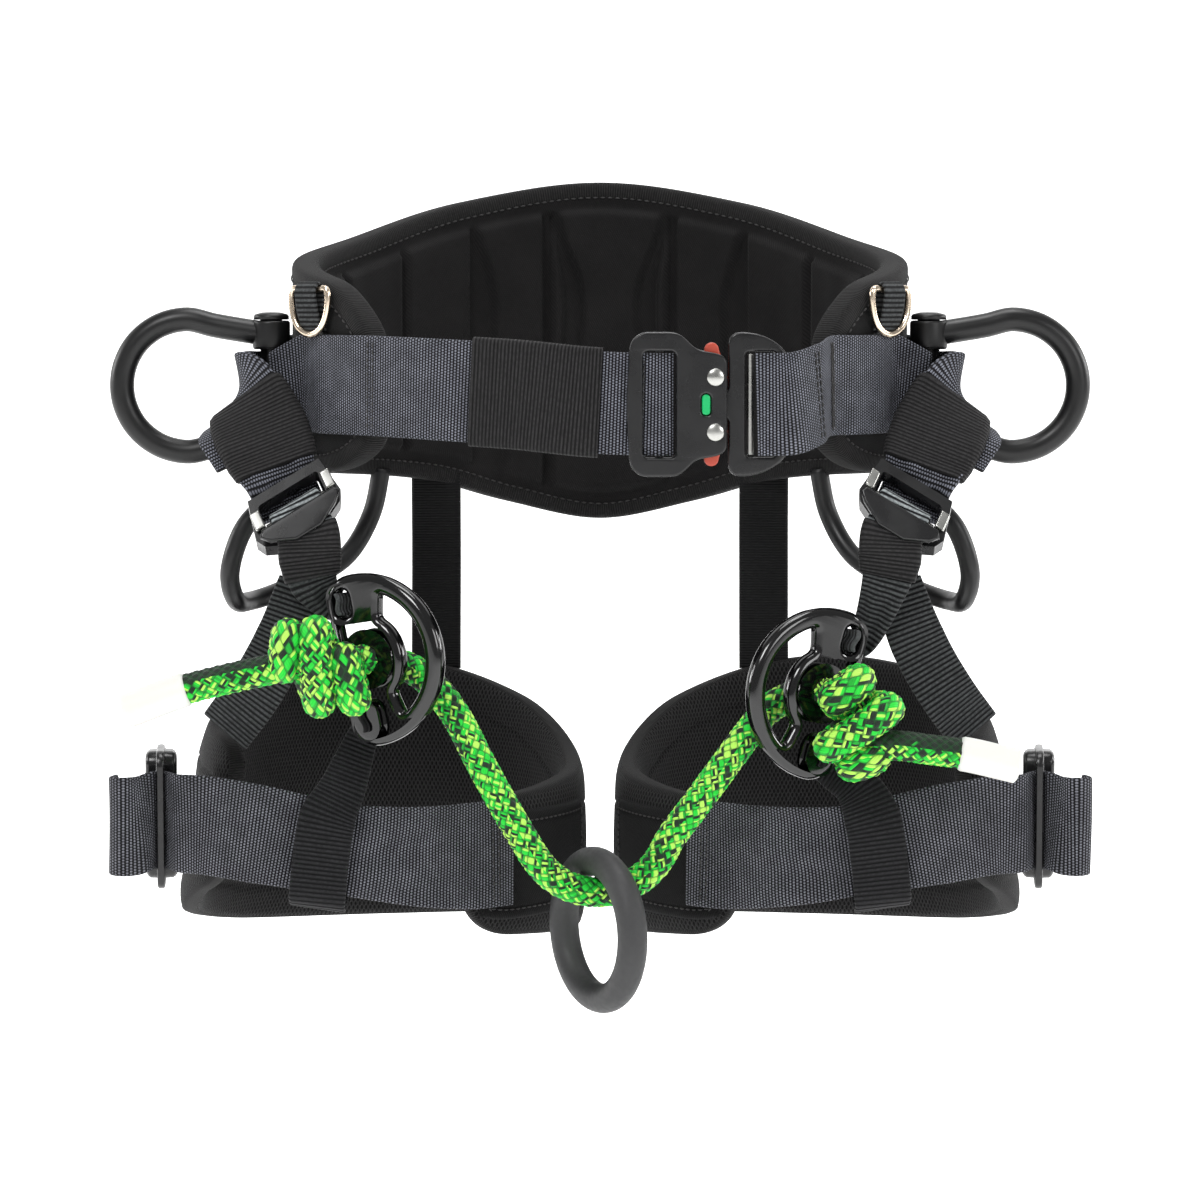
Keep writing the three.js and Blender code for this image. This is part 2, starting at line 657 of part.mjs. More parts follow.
function plateShape() {
  const shape = new THREE.Shape();
  const flat = plateHalfLong - cornerRadius;
  shape.moveTo(-straightSide, flat);
  shape.absarc(-straightSide + cornerRadius, flat, cornerRadius, Math.PI, Math.PI / 2, true);
  const bowX = plateBow + straightSide - cornerRadius;
  const middle = -straightSide + cornerRadius;
  shape.absellipse(middle, 0, bowX, plateHalfLong, Math.PI / 2, -Math.PI / 2, true);
  shape.absarc(middle, -flat, cornerRadius, -Math.PI / 2, -Math.PI, true);
  shape.closePath();
  shape.holes.push(circleHole(0, 0, ropeHoleRadius, 18));
  for (const up of [1, -1]) {
    const { x, y, wide, tall } = webSlot;
    shape.holes.push(roundRect(THREE.Path, x, up * y, wide, tall - 2, 3.4));
  }
  // The crescent between the strut and the rim of the bow.
  const crescent = new THREE.Path();
  const reach = rad(62);
  const steps = 7;
  const points = [];
  for (let i = 0; i <= steps; i++) {
    const a = -reach + (2 * reach * i) / steps;
    const rimX = bowX - plateRim;
    const rimY = plateHalfLong - plateRim;
    points.push(new THREE.Vector2(middle + rimX * Math.cos(a), rimY * Math.sin(a)));
  }
  for (let i = steps; i >= 0; i--) {
    const a = -reach + (2 * reach * i) / steps;
    const x = strutRadius * Math.cos(a) + 2;
    points.push(new THREE.Vector2(x, (strutRadius + 3) * Math.sin(a)));
  }
  crescent.setFromPoints(points);
  shape.holes.push(crescent);
  return shape;
}

// Where each plate hangs: its rope hole, and how far its long side leans from the vertical.
const plates = {
  left: { side: -1, hole: v(-99.5, -110, -114), lean: 14 },
  right: { side: 1, hole: v(95.5, -110, -129), lean: 18 },
};

function plateMatrix({ side, hole, lean }) {
  const turn = new THREE.Matrix4().makeRotationZ(rad(side * plateTurn));
  const tilt = new THREE.Matrix4().makeRotationY(rad(side * lean));
  const face = new THREE.Matrix4().makeRotationX(Math.PI / 2);
  const mirror = new THREE.Matrix4().makeScale(-side, 1, 1);
  return new THREE.Matrix4().setPosition(hole).multiply(turn).multiply(tilt).multiply(face)
    .multiply(mirror);
}

// A point of a plate: across from the hole to the bow, up its long side, and out of its face.
function platePoint(which, across, up, out = 0) {
  return v(across, up, out).applyMatrix4(plateMatrix(which));
}

for (const [word, which] of Object.entries(plates)) {
  const geometry = placed(plate(plateShape(), plateThick, 5), plateMatrix(which));
  add(`bridge_plate_${word}`, geometry, blackAnodised);
}

// ---------------------------------------------------------------- rope bridge and its ring
const ropeRadius = ropeWide / 2;
const archRadius = 32; // the bend in the rope under the ring is a true arc
const archX = -1;
const archZ = -184.5; // centre of that arc
const archHalf = 58; // degrees of it on either side of the lowest point
const bridgeY = -112;

const bridgeLeft = [
  v(-106, -116, -114.5), plates.left.hole, v(-90, -103.5, -116), v(-79, -101.5, -121.5),
  v(-70, -104.5, -130), v(-62.5, -108, -140), v(-53, -111, -158), v(-43.5, -112, -175.5),
  v(-34, -112, -192),
];
const bridgeRight = [
  v(31, -112, -192.5), v(43.5, -112, -175.5), v(56, -111, -158.5), v(66, -107.5, -145.5),
  v(75, -103.5, -136), v(85, -102.5, -131), plates.right.hole, v(103, -116, -128.5),
];
const bridgeRoute = [...bridgeLeft];
for (let a = -archHalf; a <= archHalf; a += archHalf / 4) {
  const x = archX + archRadius * Math.sin(rad(a));
  bridgeRoute.push(v(x, bridgeY, archZ - archRadius * Math.cos(rad(a))));
}
bridgeRoute.push(...bridgeRight);

// A stopper knot is three turns of rope side by side, with the tail coming out of the last one.
// Each turn is [middle, half its size across, front to back and up, lean in degrees].
const knots = {
  left: {
    turns: [
      [v(-108, -126, -120), [7.2, 12, 15.5], -12],
      [v(-119, -129, -114.5), [7.4, 13.5, 20.5], -6],
      [v(-131.5, -130, -108.5), [8.5, 12, 13.5], 8],
    ],
    tail: [v(-126, -130, -112), v(-146, -131, -117.5), v(-162, -130.5, -121), v(-180, -130, -125.8),
      v(-203, -129, -134.5)],
  },
  right: {
    turns: [
      [v(107, -128, -128), [12, 12, 12], 0],
      [v(113, -131, -143), [16, 13, 15], 0],
      [v(114, -130, -159), [10.5, 12, 8.5], 0],
    ],
    tail: [v(112, -131, -150), v(128, -131, -149.5), v(140, -130.5, -151), v(158, -130, -153.5),
      v(179, -129, -158.5)],
  },
};
const sleeveShare = 0.68; // where the heat-shrunk end sleeve starts along a tail
const sleeveWall = 0.8;
const sleevePast = 0.8; // how far the sleeve stands past the end of the tail

function turnSolids(knot, grow) {
  return knot.turns.map(([at, size, lean]) => {
    const turn = new THREE.SphereGeometry(1, 10, 8);
    turn.scale(size[0] + grow, size[1] + grow, size[2] + grow).rotateY(rad(lean));
    return turn.translate(at.x, at.y, at.z);
  });
}

for (const [word, knot] of Object.entries(knots)) {
  const curve = new THREE.CatmullRomCurve3(knot.tail, false, "centripetal");
  const tail = tube(curve, ropeRadius, 8, 10);
  add(`rope_knot_${word}`, join(...turnSolids(knot, 0), tail), greenRope);

  // The sleeve covers the last stretch of the tail and stands a little past its end.
  const covered = [0, 0.25, 0.5, 0.75, 1].map((t) =>
    curve.getPoint(THREE.MathUtils.lerp(sleeveShare, 1, t)),
  );
  const last = covered.length - 1;
  const outwards = covered[last].clone().sub(covered[last - 1]).normalize();
  const inwards = covered[0].clone().sub(covered[1]).normalize();
  const past = (point, way, far) => point.clone().addScaledVector(way, far);
  const outer = [...covered, past(covered[last], outwards, sleevePast)];
  const inner = [past(covered[0], inwards, sleevePast), ...covered,
    past(covered[last], outwards, 3 * sleevePast)];
  const hollow = tube(inner, ropeRadius + gap, 8, 8);
  const skin = tube(outer, ropeRadius + gap + sleeveWall, 8, 8);
  add(`rope_end_${word}`, cut(skin, hollow), whiteSleeve);
}

const ropeSolid = tube(bridgeRoute, ropeRadius, 8, 44);
const knotRoom = Object.values(knots).flatMap((knot) => turnSolids(knot, gap));
add("bridge_rope", cut(ropeSolid, ...knotRoom), greenRope);

const ringRadius = (ringBore + ringBar) / 2;
const ring = new THREE.TorusGeometry(ringRadius, ringBar / 2, 10, 30);
const ringZ = archZ - archRadius + ropeRadius + gap - ringBore / 2;
ring.rotateX(Math.PI / 2).rotateZ(rad(90 + ringTurn));
add("bridge_ring", ring, greyAnodised).position.set(archX, bridgeY, ringZ);

// ---------------------------------------------------------------- leg loops
// Angles run round a leg loop from its inner side (0) by the back (90) to its outer side (180).
const legFrom = -62;
const legTo = 222;
const legTop = [[legFrom, -182], [-25, -178], [10, -171], [45, -150], [88, -134], [130, -138],
  [165, -149], [legTo, -157]];
const legBottom = [[legFrom, -242], [-20, -247], [30, -252], [90, -259], [140, -256], [180, -243],
  [legTo, -222]];
const legFlare = 16; // how much narrower the outer side is at its top than 100 mm further down
const legLow = -250;

// A point at an angle, a distance inside the outer face of a leg pad.
function legPoint(side, angle, inside, z) {
  const outer = Math.max(0, -Math.cos(rad(angle)));
  const lean = (legFlare * outer * Math.max(0, z - legLow)) / 100;
  const x = legX - (legHalfWidth - inside - lean) * Math.cos(rad(angle));
  return v(side * x, (legHalfDepth - inside) * Math.sin(rad(angle)), z);
}

function legPad(side) {
  const outlines = [];
  const cornerRound = 14; // degrees over which the corners of both ends are rounded
  const places = [];
  for (let a = legFrom; a < legTo; a += 7) places.push(a);
  places.push(legFrom + 0.7, legFrom + 2.5, legTo - 2.5, legTo - 0.7, legTo);
  places.sort((a, b) => a - b);
  for (const angle of places) {
    const inside = Math.min(angle - legFrom, legTo - angle);
    const past = Math.max(0, cornerRound - inside) / cornerRound;
    const drop = 18 * (1 - Math.sqrt(1 - Math.min(1, past) ** 2));
    const top = along(legTop, angle) - drop;
    const bottom = along(legBottom, angle) + drop;
    outlines.push([
      legPoint(side, angle, legPadThick, bottom),
      legPoint(side, angle, 0, bottom),
      legPoint(side, angle, 0, top),
      legPoint(side, angle, legPadThick, top),
    ]);
  }
  return loft(outlines);
}

for (const [word, side] of sides) add(`leg_pad_${word}`, legPad(side), blackFabric);

// Buckle of a leg loop, drawn along the strap (X), up (Y) and outwards (Z).
const legBuckle = { at: v(197, -66, -189), tall: webWide + 18, long: 36, thick: 3.5, block: 14 };
const legBuckleAlong = v(0.1, 1, 0).normalize();
const legSlotX = -14.5;
const legTongueHalf = 15;
const legTongueFrom = 0;

function onLegBuckle(side, geometry) {
  const up = v(0, 0, 1);
  const out = legBuckleAlong.clone().cross(up);
  const basis = new THREE.Matrix4().makeBasis(legBuckleAlong, up, out).setPosition(legBuckle.at);
  return placed(geometry, basis.premultiply(new THREE.Matrix4().makeScale(side, 1, 1)));
}

function legBuckleBody() {
  const { tall, long, thick, block } = legBuckle;
  const shape = roundRect(THREE.Shape, -4, 0, long, tall, 7);
  shape.holes.push(roundRect(THREE.Path, legSlotX, 0, 8, webWide + 2, 2.5));
  const housing = roundRect(THREE.Shape, 4.5, 0, 19, tall - 4, 6);
  const reach = 20;
  const room = new THREE.BoxGeometry(reach, 2 * (legTongueHalf + gap), tongueThick + 2 * gap);
  room.translate(legTongueFrom - gap + reach / 2, 0, 0);
  return cut(join(plate(shape, thick), plate(housing, block)), room);
}

function legTongue() {
  const frame = legBuckle.long / 2 - 4 + gap;
  const half = legBuckle.tall / 2 - 4;
  const shape = new THREE.Shape();
  shape.moveTo(legTongueFrom, -legTongueHalf);
  shape.lineTo(frame, -legTongueHalf);
  shape.lineTo(frame, -half + 6);
  shape.absarc(frame + 6, -half + 6, 6, Math.PI, 1.5 * Math.PI);
  shape.absarc(frame + 11, -half + 6, 6, 1.5 * Math.PI, 2 * Math.PI);
  shape.absarc(frame + 11, half - 6, 6, 0, Math.PI / 2);
  shape.absarc(frame + 6, half - 6, 6, Math.PI / 2, Math.PI);
  shape.lineTo(frame, legTongueHalf);
  shape.lineTo(legTongueFrom, legTongueHalf);
  shape.closePath();
  shape.holes.push(roundRect(THREE.Path, frame + 9, 0, 6, webWide + 1, 2));
  return plate(shape, tongueThick);
}

const legStrapRise = legBuckle.at.z; // height of the middle of the strap beside the buckle
for (const [word, side] of sides) {
  add(`leg_buckle_${word}`, onLegBuckle(side, legBuckleBody()), blackAnodised);
  add(`leg_tongue_${word}`, onLegBuckle(side, legTongue()), blackAnodised);

  // Sewn to the front of the inner wing, across the open front, round the rim of the buckle's slot.
  const wing = (angle) => legPoint(1, angle, -lay - webThick / 2 - 0.5, -205).toArray();
  const slanted = [0.1, 0, 1];
  const rows = [
    [wing(-50), [0, 0, 1], webWide + 4],
    [wing(-61), [0.05, 0, 1], webWide + 4],
    [[81, -98, -203], slanted, webWide],
    [[112, -105, -199], [0, 0, 1], webWide - 4],
    [[150, -105, -192], [0, 0, 1], webWide],
    [[174, -99, -189], [0, 0, 1], webWide],
    [[187, -92.5, legStrapRise], [0, 0, 1], webWide],
    [[190.6, -86, legStrapRise], [0, 0, 1], webWide],
    [[195.6, -79.8, legStrapRise], [0, 0, 1], webWide],
    [[199.8, -86.5, legStrapRise], [0, 0, 1], webWide],
    [[204.5, -93.5, legStrapRise - 1], [0, 0, 1], webWide],
    [[211, -97, legStrapRise - 1], [0, 0, 1], webWide],
    [[216, -93, legStrapRise - 1], [0, 0, 1], webWide],
    [[214.5, -86, legStrapRise - 1], [0, 0, 1], webWide],
  ];
  add(`leg_strap_${word}`, strap(mirrored(side, rows), webThick, 58), greyWebbing);
}

// ---------------------------------------------------------------- straps between waist and legs
const riserThick = 3;
for (const [word, side] of sides) {
  // Flat straps at the back, from the foot of the waist pad to the top of the leg pad.
  const riserX = 80;
  const waistAngle = 36.4;
  const legAngle = 76.3;
  const high = waistPoint(waistAngle, padOut / 2, along(foamBottom, waistAngle) - 2);
  const low = legPoint(1, legAngle, legPadThick / 2, along(legTop, legAngle) + 3);
  const rear = [
    [[riserX, high.y, high.z], [1, 0, 0], webNarrow - 1],
    [[riserX, high.y + 1, high.z - 25], [1, 0, 0], webNarrow - 1],
    [[riserX, low.y + 4, low.z + 22], [1, 0, 0], webNarrow - 1],
    [[riserX, low.y, low.z], [1, 0, 0], webNarrow - 1],
  ];
  add(`rear_riser_${word}`, strap(mirrored(side, rear), riserThick, 10), blackWebbing);

  // Padded straps at the hips, facing outwards.
  const outer = [
    [[waistHalfWidth + 8.5, -1, -42.5], [0, 1, 0], webNarrow],
    [[waistHalfWidth + 14, 2, -75], [0, 1, 0], webNarrow],
    [[waistHalfWidth + 18, 4, -108], [0, 1, 0], webNarrow],
    [[162, 4, -134], [0, 1, 0], webNarrow + 4],
    [[175, 4, -146.5], [0, 1, 0], webNarrow + 10],
  ];
  add(`hip_riser_${word}`, strap(mirrored(side, outer), 2 * riserThick, 16), blackWebbing);

  // Hoses for hanging gear on, from the foot of the waist pad round to its wing.
  const hoseRoute = [
    [-23, 62, -46], [-19, 62, -62], [-7, 51, -82], [17, 31, -94], [34, 8, -99], [39, -16, -96],
    [40, -29, -82], [33, -30, -62], [21, -25, -50], [10, -19, -43.5],
  ].map(([past, y, z]) => v(side * (waistHalfWidth + past), y, z));
  add(`gear_loop_${word}`, tube(hoseRoute, gearLoopWide / 2, 8, 28), hose);
}

// ---------------------------------------------------------------- straps to the bridge plates
function adjusterPoint(side, up, out) {
  const place = adjusterAt.clone().addScaledVector(strapDown, -up).addScaledVector(adjusterOut, out);
  return v(side * place.x, place.y, place.z);
}

for (const [word, which] of Object.entries(plates)) {
  const { side } = which;
  const level = v(side * barAlong.x, barAlong.y, barAlong.z);
  const plateUp = platePoint(which, 0, 1).sub(platePoint(which, 0, 0));
  const slotAcross = webSlot.x;
  const slotUp = webSlot.y;
  const gathered = webSlot.tall - 4;

  // Over the slider bar of the adjuster, down its front and into the upper slot of the plate.
  const lower = [
    [adjusterPoint(side, -14, -8.4), level, webNarrow],
    [adjusterPoint(side, -8, -8.4), level, webNarrow],
    [adjusterPoint(side, -1.6, -5), level, webNarrow],
    [adjusterPoint(side, 1.3, 0), level, webNarrow],
    [adjusterPoint(side, 1.6, 4), level, webNarrow],
    [adjusterPoint(side, -0.6, 7.4), level, webNarrow],
    [adjusterPoint(side, -5, 8.4), level, webNarrow],
    [adjusterPoint(side, -16, 9), level, webNarrow],
    [v(side * 127, -96, -72), v(side * -1, 0.1, 0.1), webNarrow],
    [v(side * 125, -96, -83), v(side * -1, 0.15, 0.1), webNarrow - 4],
    [platePoint(which, slotAcross - 12, slotUp, -9), v(side * -0.5, 0.2, 0.8), gathered + 2],
    [platePoint(which, slotAcross - 1, slotUp, -5.5), plateUp, gathered],
    [platePoint(which, slotAcross, slotUp, 6), plateUp, gathered],
  ];
  add(`plate_strap_${word}`, strap(lower, webThick, 56), blackWebbing);

  // From the same strap to the outer front corner of the leg pad.
  const tie = [
    [v(side * 131, -87, -83), v(side * 0.95, 0.05, 0.2), webNarrow - 3],
    [v(side * 140, -88, -108), v(side * 0.92, 0.05, 0.38), webNarrow],
    [v(side * 153, -85, -131), v(side * 0.88, 0.1, 0.45), webNarrow],
    [v(side * 167, -75, -150), v(side * 0.85, 0.2, 0.5), webNarrow],
  ];
  add(`leg_tie_${word}`, strap(tie, webThick, 14), blackWebbing);

  // From the lower slot of the plate down to a loop round the leg strap.
  const riser = [
    [platePoint(which, slotAcross, -slotUp, 6), plateUp, gathered],
    [platePoint(which, slotAcross, -slotUp, -3), plateUp, gathered],
    [platePoint(which, slotAcross - 9, -slotUp - 3, -9), v(side * 0.5, 0, 0.8), gathered + 2],
    [v(side * 113, -106, -172), v(side * 1, 0, 0.1), webNarrow - 4],
    [v(side * 119, -112, -184), v(side * 1, 0, 0.15), webNarrow],
    [v(side * 122, -112, -202), v(side * 1, 0, 0.15), webNarrow],
    [v(side * 124, -110, -221), v(side * 1, 0, 0.15), webNarrow],
    [v(side * 124, -104, -224), v(side * 1, 0, 0.15), webNarrow],
    [v(side * 123, -100, -219), v(side * 1, 0, 0.15), webNarrow],
  ];
  add(`plate_riser_${word}`, strap(riser, webThick, 40), blackWebbing);
}

export default saddle;
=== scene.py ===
# %% [markdown]
# # A tree climbing saddle, dressed piece by piece
# The saddle is a padded waist belt that carries two leg loops and a knotted rope bridge. The hard
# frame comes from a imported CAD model, and everything here is laid over it in the same place: cloth
# as surfaces worked out with numpy, metal with rounded edges, and rope with a real braid.

import math

import bmesh
import bpy
import numpy as np
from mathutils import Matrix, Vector
from mathutils.geometry import tessellate_polygon


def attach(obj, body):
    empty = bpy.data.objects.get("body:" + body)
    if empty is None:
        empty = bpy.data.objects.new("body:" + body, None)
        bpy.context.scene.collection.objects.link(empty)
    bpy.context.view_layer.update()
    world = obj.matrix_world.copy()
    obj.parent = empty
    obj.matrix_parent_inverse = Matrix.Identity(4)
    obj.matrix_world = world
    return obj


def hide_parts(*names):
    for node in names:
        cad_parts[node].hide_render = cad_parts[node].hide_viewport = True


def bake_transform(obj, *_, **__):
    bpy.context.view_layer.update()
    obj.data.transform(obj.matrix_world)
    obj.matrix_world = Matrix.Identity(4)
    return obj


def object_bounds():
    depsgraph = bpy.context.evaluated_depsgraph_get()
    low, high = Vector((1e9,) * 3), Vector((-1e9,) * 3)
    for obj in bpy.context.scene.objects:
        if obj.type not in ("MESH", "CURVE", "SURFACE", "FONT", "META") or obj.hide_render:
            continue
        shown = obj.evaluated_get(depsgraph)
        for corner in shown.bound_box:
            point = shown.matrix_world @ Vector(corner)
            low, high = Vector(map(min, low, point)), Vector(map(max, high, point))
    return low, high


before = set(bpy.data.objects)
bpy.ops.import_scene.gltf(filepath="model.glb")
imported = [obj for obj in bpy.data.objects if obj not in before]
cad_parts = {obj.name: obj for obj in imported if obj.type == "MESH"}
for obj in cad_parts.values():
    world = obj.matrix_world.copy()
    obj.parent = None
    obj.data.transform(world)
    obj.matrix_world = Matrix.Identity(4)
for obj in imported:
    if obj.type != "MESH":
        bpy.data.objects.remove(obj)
cad_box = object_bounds()

# %% [markdown]
# ## The camera
# A long lens far away keeps the saddle nearly free of perspective. It looks at the middle of the
# saddle from the front and a little above, so that the inside of the waist pad shows.

# %% Camera
MM = 0.001
AIM = Vector((0, 0, -0.098))
AWAY = 1.7
RISE = math.radians(5)
camera = bpy.data.objects.new("camera", bpy.data.cameras.new("camera"))
camera.data.lens = 109.65
camera.data.sensor_width = 36
camera.location = AIM + AWAY * Vector((0, -math.cos(RISE), math.sin(RISE)))
camera.rotation_euler = (math.pi / 2 - RISE, 0, 0)
bpy.context.scene.collection.objects.link(camera)
bpy.context.scene.camera = camera
print("camera at", tuple(round(x, 3) for x in camera.location))

# %% [markdown]
# ## Surfaces from grids
# Almost every soft piece is one grid of points: a profile carried along a path, or a band with two
# parameters. One helper turns such a grid into a closed mesh with its faces outwards and a UV map
# in metres, so that a weave keeps its real size wherever it runs.


# %% Grids into meshes
def mesh_object(name, points, faces, uv=None, smooth=True):
    """An object from points in millimetres and lists of corners; uv has a pair for each one."""
    mesh = bpy.data.meshes.new(name)
    mesh.from_pydata((np.asarray(points, float) * MM).tolist(), [], faces)
    if uv is not None:
        layer = mesh.uv_layers.new(name="cloth")
        layer.data.foreach_set("uv", np.asarray(uv, np.float32).ravel())
    mesh.polygons.foreach_set("use_smooth", np.full(len(mesh.polygons), smooth))
    mesh.update()
    turn_outwards(mesh)
    made = bpy.data.objects.new(name, mesh)
    bpy.context.scene.collection.objects.link(made)
    return made


def turn_outwards(mesh):
    """Flips all faces where the signed volume, the sum of a . (b x c) / 6, is below 0."""
    mesh.calc_loop_triangles()
    co = np.zeros(len(mesh.vertices) * 3, np.float32)
    mesh.vertices.foreach_get("co", co)
    tri = np.zeros(len(mesh.loop_triangles) * 3, np.int32)
    mesh.loop_triangles.foreach_get("vertices", tri)
    a, b, c = (co.reshape(-1, 3)[tri.reshape(-1, 3)[:, k]].astype(float) for k in range(3))
    if np.einsum("ij,ij->i", a, np.cross(b, c)).sum() < 0:
        mesh.flip_normals()
        mesh.update()


def grid_object(name, grid, uv=None, wrap_rows=False, wrap_columns=True, caps=True):
    """A mesh from grid[i, j]: rows run along the piece and columns round its section. Wrapped
    columns close the section, wrapped rows close the length, and open ends get a cap."""
    rows, columns = grid.shape[:2]
    i = np.arange(rows if wrap_rows else rows - 1)
    j = np.arange(columns if wrap_columns else columns - 1)
    ii, jj = np.meshgrid(i, j, indexing="ij")
    i2, j2 = (ii + 1) % rows, (jj + 1) % columns
    quads = np.stack([ii * columns + jj, i2 * columns + jj, i2 * columns + j2, ii * columns + j2],
                     -1)
    faces = quads.reshape(-1, 4).tolist()
    corners = None
    if uv is not None:
        if uv.shape[1] == columns and wrap_columns:
            uv = np.concatenate([uv, uv[:, :1]], 1)
        if uv.shape[0] == rows and wrap_rows:
            uv = np.concatenate([uv, uv[:1]], 0)
        corners = np.stack([uv[ii, jj], uv[ii + 1, jj], uv[ii + 1, jj + 1], uv[ii, jj + 1]], -2)
        corners = corners.reshape(-1, 2)
    if caps and not wrap_rows and wrap_columns:
        first = list(range(columns))
        last = list(range((rows - 1) * columns, rows * columns))[::-1]
        faces += [first, last]
        if corners is not None:
            corners = np.concatenate([corners, uv[0, :columns], uv[-1, :columns][::-1]])
    return mesh_object(name, grid.reshape(-1, 3), faces, corners)


# %% [markdown]
# ## Curves, straps and bars
# A strap is known by a few stations: its middle, the way its width points, and the width. Between
# them it follows a centripetal Catmull-Rom curve, the same kind of curve as the CAD's straps use,
# so the cloth lies exactly where the CAD's solids lie.


# %% Curves through points
def curve_at(points, share):
    """Centripetal Catmull-Rom curve: cubics whose knots are the square roots of the chords."""
    points = np.asarray(points, float)
    last = len(points) - 1
    place = np.clip(np.asarray(share, float), 0, 1) * last
    i = np.minimum(place.astype(int), last - 1)
    w = (place - i)[:, None]
    padded = np.vstack([2 * points[0] - points[1], points, 2 * points[-1] - points[-2]])
    p0, p1, p2, p3 = (padded[i + k] for k in range(4))
    knot = [np.sum((a - b) ** 2, -1) ** 0.25 for a, b in ((p0, p1), (p1, p2), (p2, p3))]
    d1 = np.where(knot[1] < 1e-4, 1, knot[1])[:, None]
    d0 = np.where(knot[0][:, None] < 1e-4, d1, knot[0][:, None])
    d2 = np.where(knot[2][:, None] < 1e-4, d1, knot[2][:, None])
    t1 = ((p1 - p0) / d0 - (p2 - p0) / (d0 + d1) + (p2 - p1) / d1) * d1
    t2 = ((p2 - p1) / d1 - (p3 - p1) / (d1 + d2) + (p3 - p2) / d2) * d1
    return p1 + t1 * w + (3 * (p2 - p1) - 2 * t1 - t2) * w**2 + (2 * (p1 - p2) + t1 + t2) * w**3


def unit(rows):
    return rows / np.linalg.norm(rows, axis=-1, keepdims=True)


def lengths(line):
    """Distance along a line of points, from its first one."""
    return np.concatenate([[0], np.cumsum(np.linalg.norm(np.diff(line, axis=0), axis=1))])


def even(line, step):
    """The same line with its points a fixed step apart."""
    far = lengths(line)
    at = np.linspace(0, far[-1], max(3, int(round(far[-1] / step)) + 1))
    return np.stack([np.interp(at, far, line[:, k]) for k in range(3)], 1)


def eased(rows, place):
    """Values of a short table of (place, value): a cubic between two rows, whose slope at a row is
    that of the line between its two neighbours, and level at the two ends."""
    x, y = np.array(rows, float).T
    slope = np.concatenate([[0], (y[2:] - y[:-2]) / (x[2:] - x[:-2]), [0]])
    place = np.clip(place, x[0], x[-1])
    i = np.clip(np.searchsorted(x, place, side="right") - 1, 0, len(x) - 2)
    wide = x[i + 1] - x[i]
    t = (place - x[i]) / wide
    bend = slope[i] * (1 - t) - slope[i + 1] * t
    return y[i] + (y[i + 1] - y[i]) * t * t * (3 - 2 * t) + wide * t * (1 - t) * bend


def smooth_step(low, high, x):
    """0 below low, 1 above high, and 3t^2 - 2t^3 between them."""
    t = np.clip((x - low) / (high - low), 0, 1)
    return t * t * (3 - 2 * t)


# %% Straps
def strap_frame(stations, share):
    """The middle, width, normal and half width of a strap at shares of its stations. The width is
    squared to the tangent, and the normal is width x tangent."""
    middle = curve_at([s[0] for s in stations], share)
    tangent = unit(np.gradient(middle, axis=0))
    wide = curve_at([s[1] for s in stations], share)
    wide = unit(wide - tangent * np.sum(wide * tangent, -1, keepdims=True))
    normal = unit(np.cross(wide, tangent))
    width = np.interp(share * (len(stations) - 1), range(len(stations)), [s[2] for s in stations])
    return middle, wide, normal, width / 2


def band_section(half_wide, half_thick, across=12):
    """A flat section with half-round edges: straight faces joined by half circles."""
    turn = np.linspace(-np.pi / 2, np.pi / 2, 5)
    line = np.linspace(-1, 1, across)
    flat = half_wide - half_thick
    a = np.concatenate([line * flat, flat + half_thick * np.cos(turn[::-1][1:-1]),
                        -line * flat, -flat - half_thick * np.cos(turn[1:-1])])
    b = np.concatenate([np.full(across, half_thick), half_thick * np.sin(turn[::-1][1:-1]),
                        np.full(across, -half_thick), half_thick * np.sin(turn[1:-1])])
    return a, b


def ribbon(name, stations, thick, step=1.5, start=0, end=1, grow=0, wave=None, shift=0):
    """Webbing: the band section carried along the stations. wave(s, a) adds a swell in millimetres
    to both faces at the distance s along and a across, and shift moves it along its normal."""
    fine = np.linspace(start, end, 1200)
    middle, wide, normal, half = strap_frame(stations, fine)
    far = lengths(middle)
    at = np.linspace(0, far[-1], max(8, int(far[-1] / step)))
    pick = lambda rows: np.stack([np.interp(at, far, rows[:, k]) for k in range(3)], 1)
    middle, wide, normal = pick(middle), unit(pick(wide)), unit(pick(normal))
    half = np.interp(at, far, half) + grow
    a, b = band_section(np.mean(half), thick / 2 + grow, 14)
    a = a[None] * (half / np.mean(half))[:, None]
    b = np.repeat(b[None], len(at), 0) + shift
    if wave is not None:
        b = b + wave(at[:, None], a)
    grid = middle[:, None] + wide[:, None] * a[..., None] + normal[:, None] * b[..., None]
    uv = np.stack([a * MM, np.repeat(at[:, None] * MM, a.shape[1], 1)], -1)
    return grid_object(name, grid, uv)


# %% Round bars and lathe work
def carried_frames(line, closed=False):
    """Two directions square to a line that turn as little as they can along it: each one is the
    last one with its share along the new tangent taken out."""
    tangent = unit(np.roll(line, -1, 0)
                   - np.roll(line, 1, 0)) if closed else unit(np.gradient(line, axis=0))
    first = np.cross(tangent[0], [0.3, 0.2, 0.93])
    side = [unit(first)]
    for direction in tangent[1:]:
        side.append(unit(side[-1] - direction * np.dot(side[-1], direction)))
    side = np.array(side)
    return side, np.cross(tangent, side)


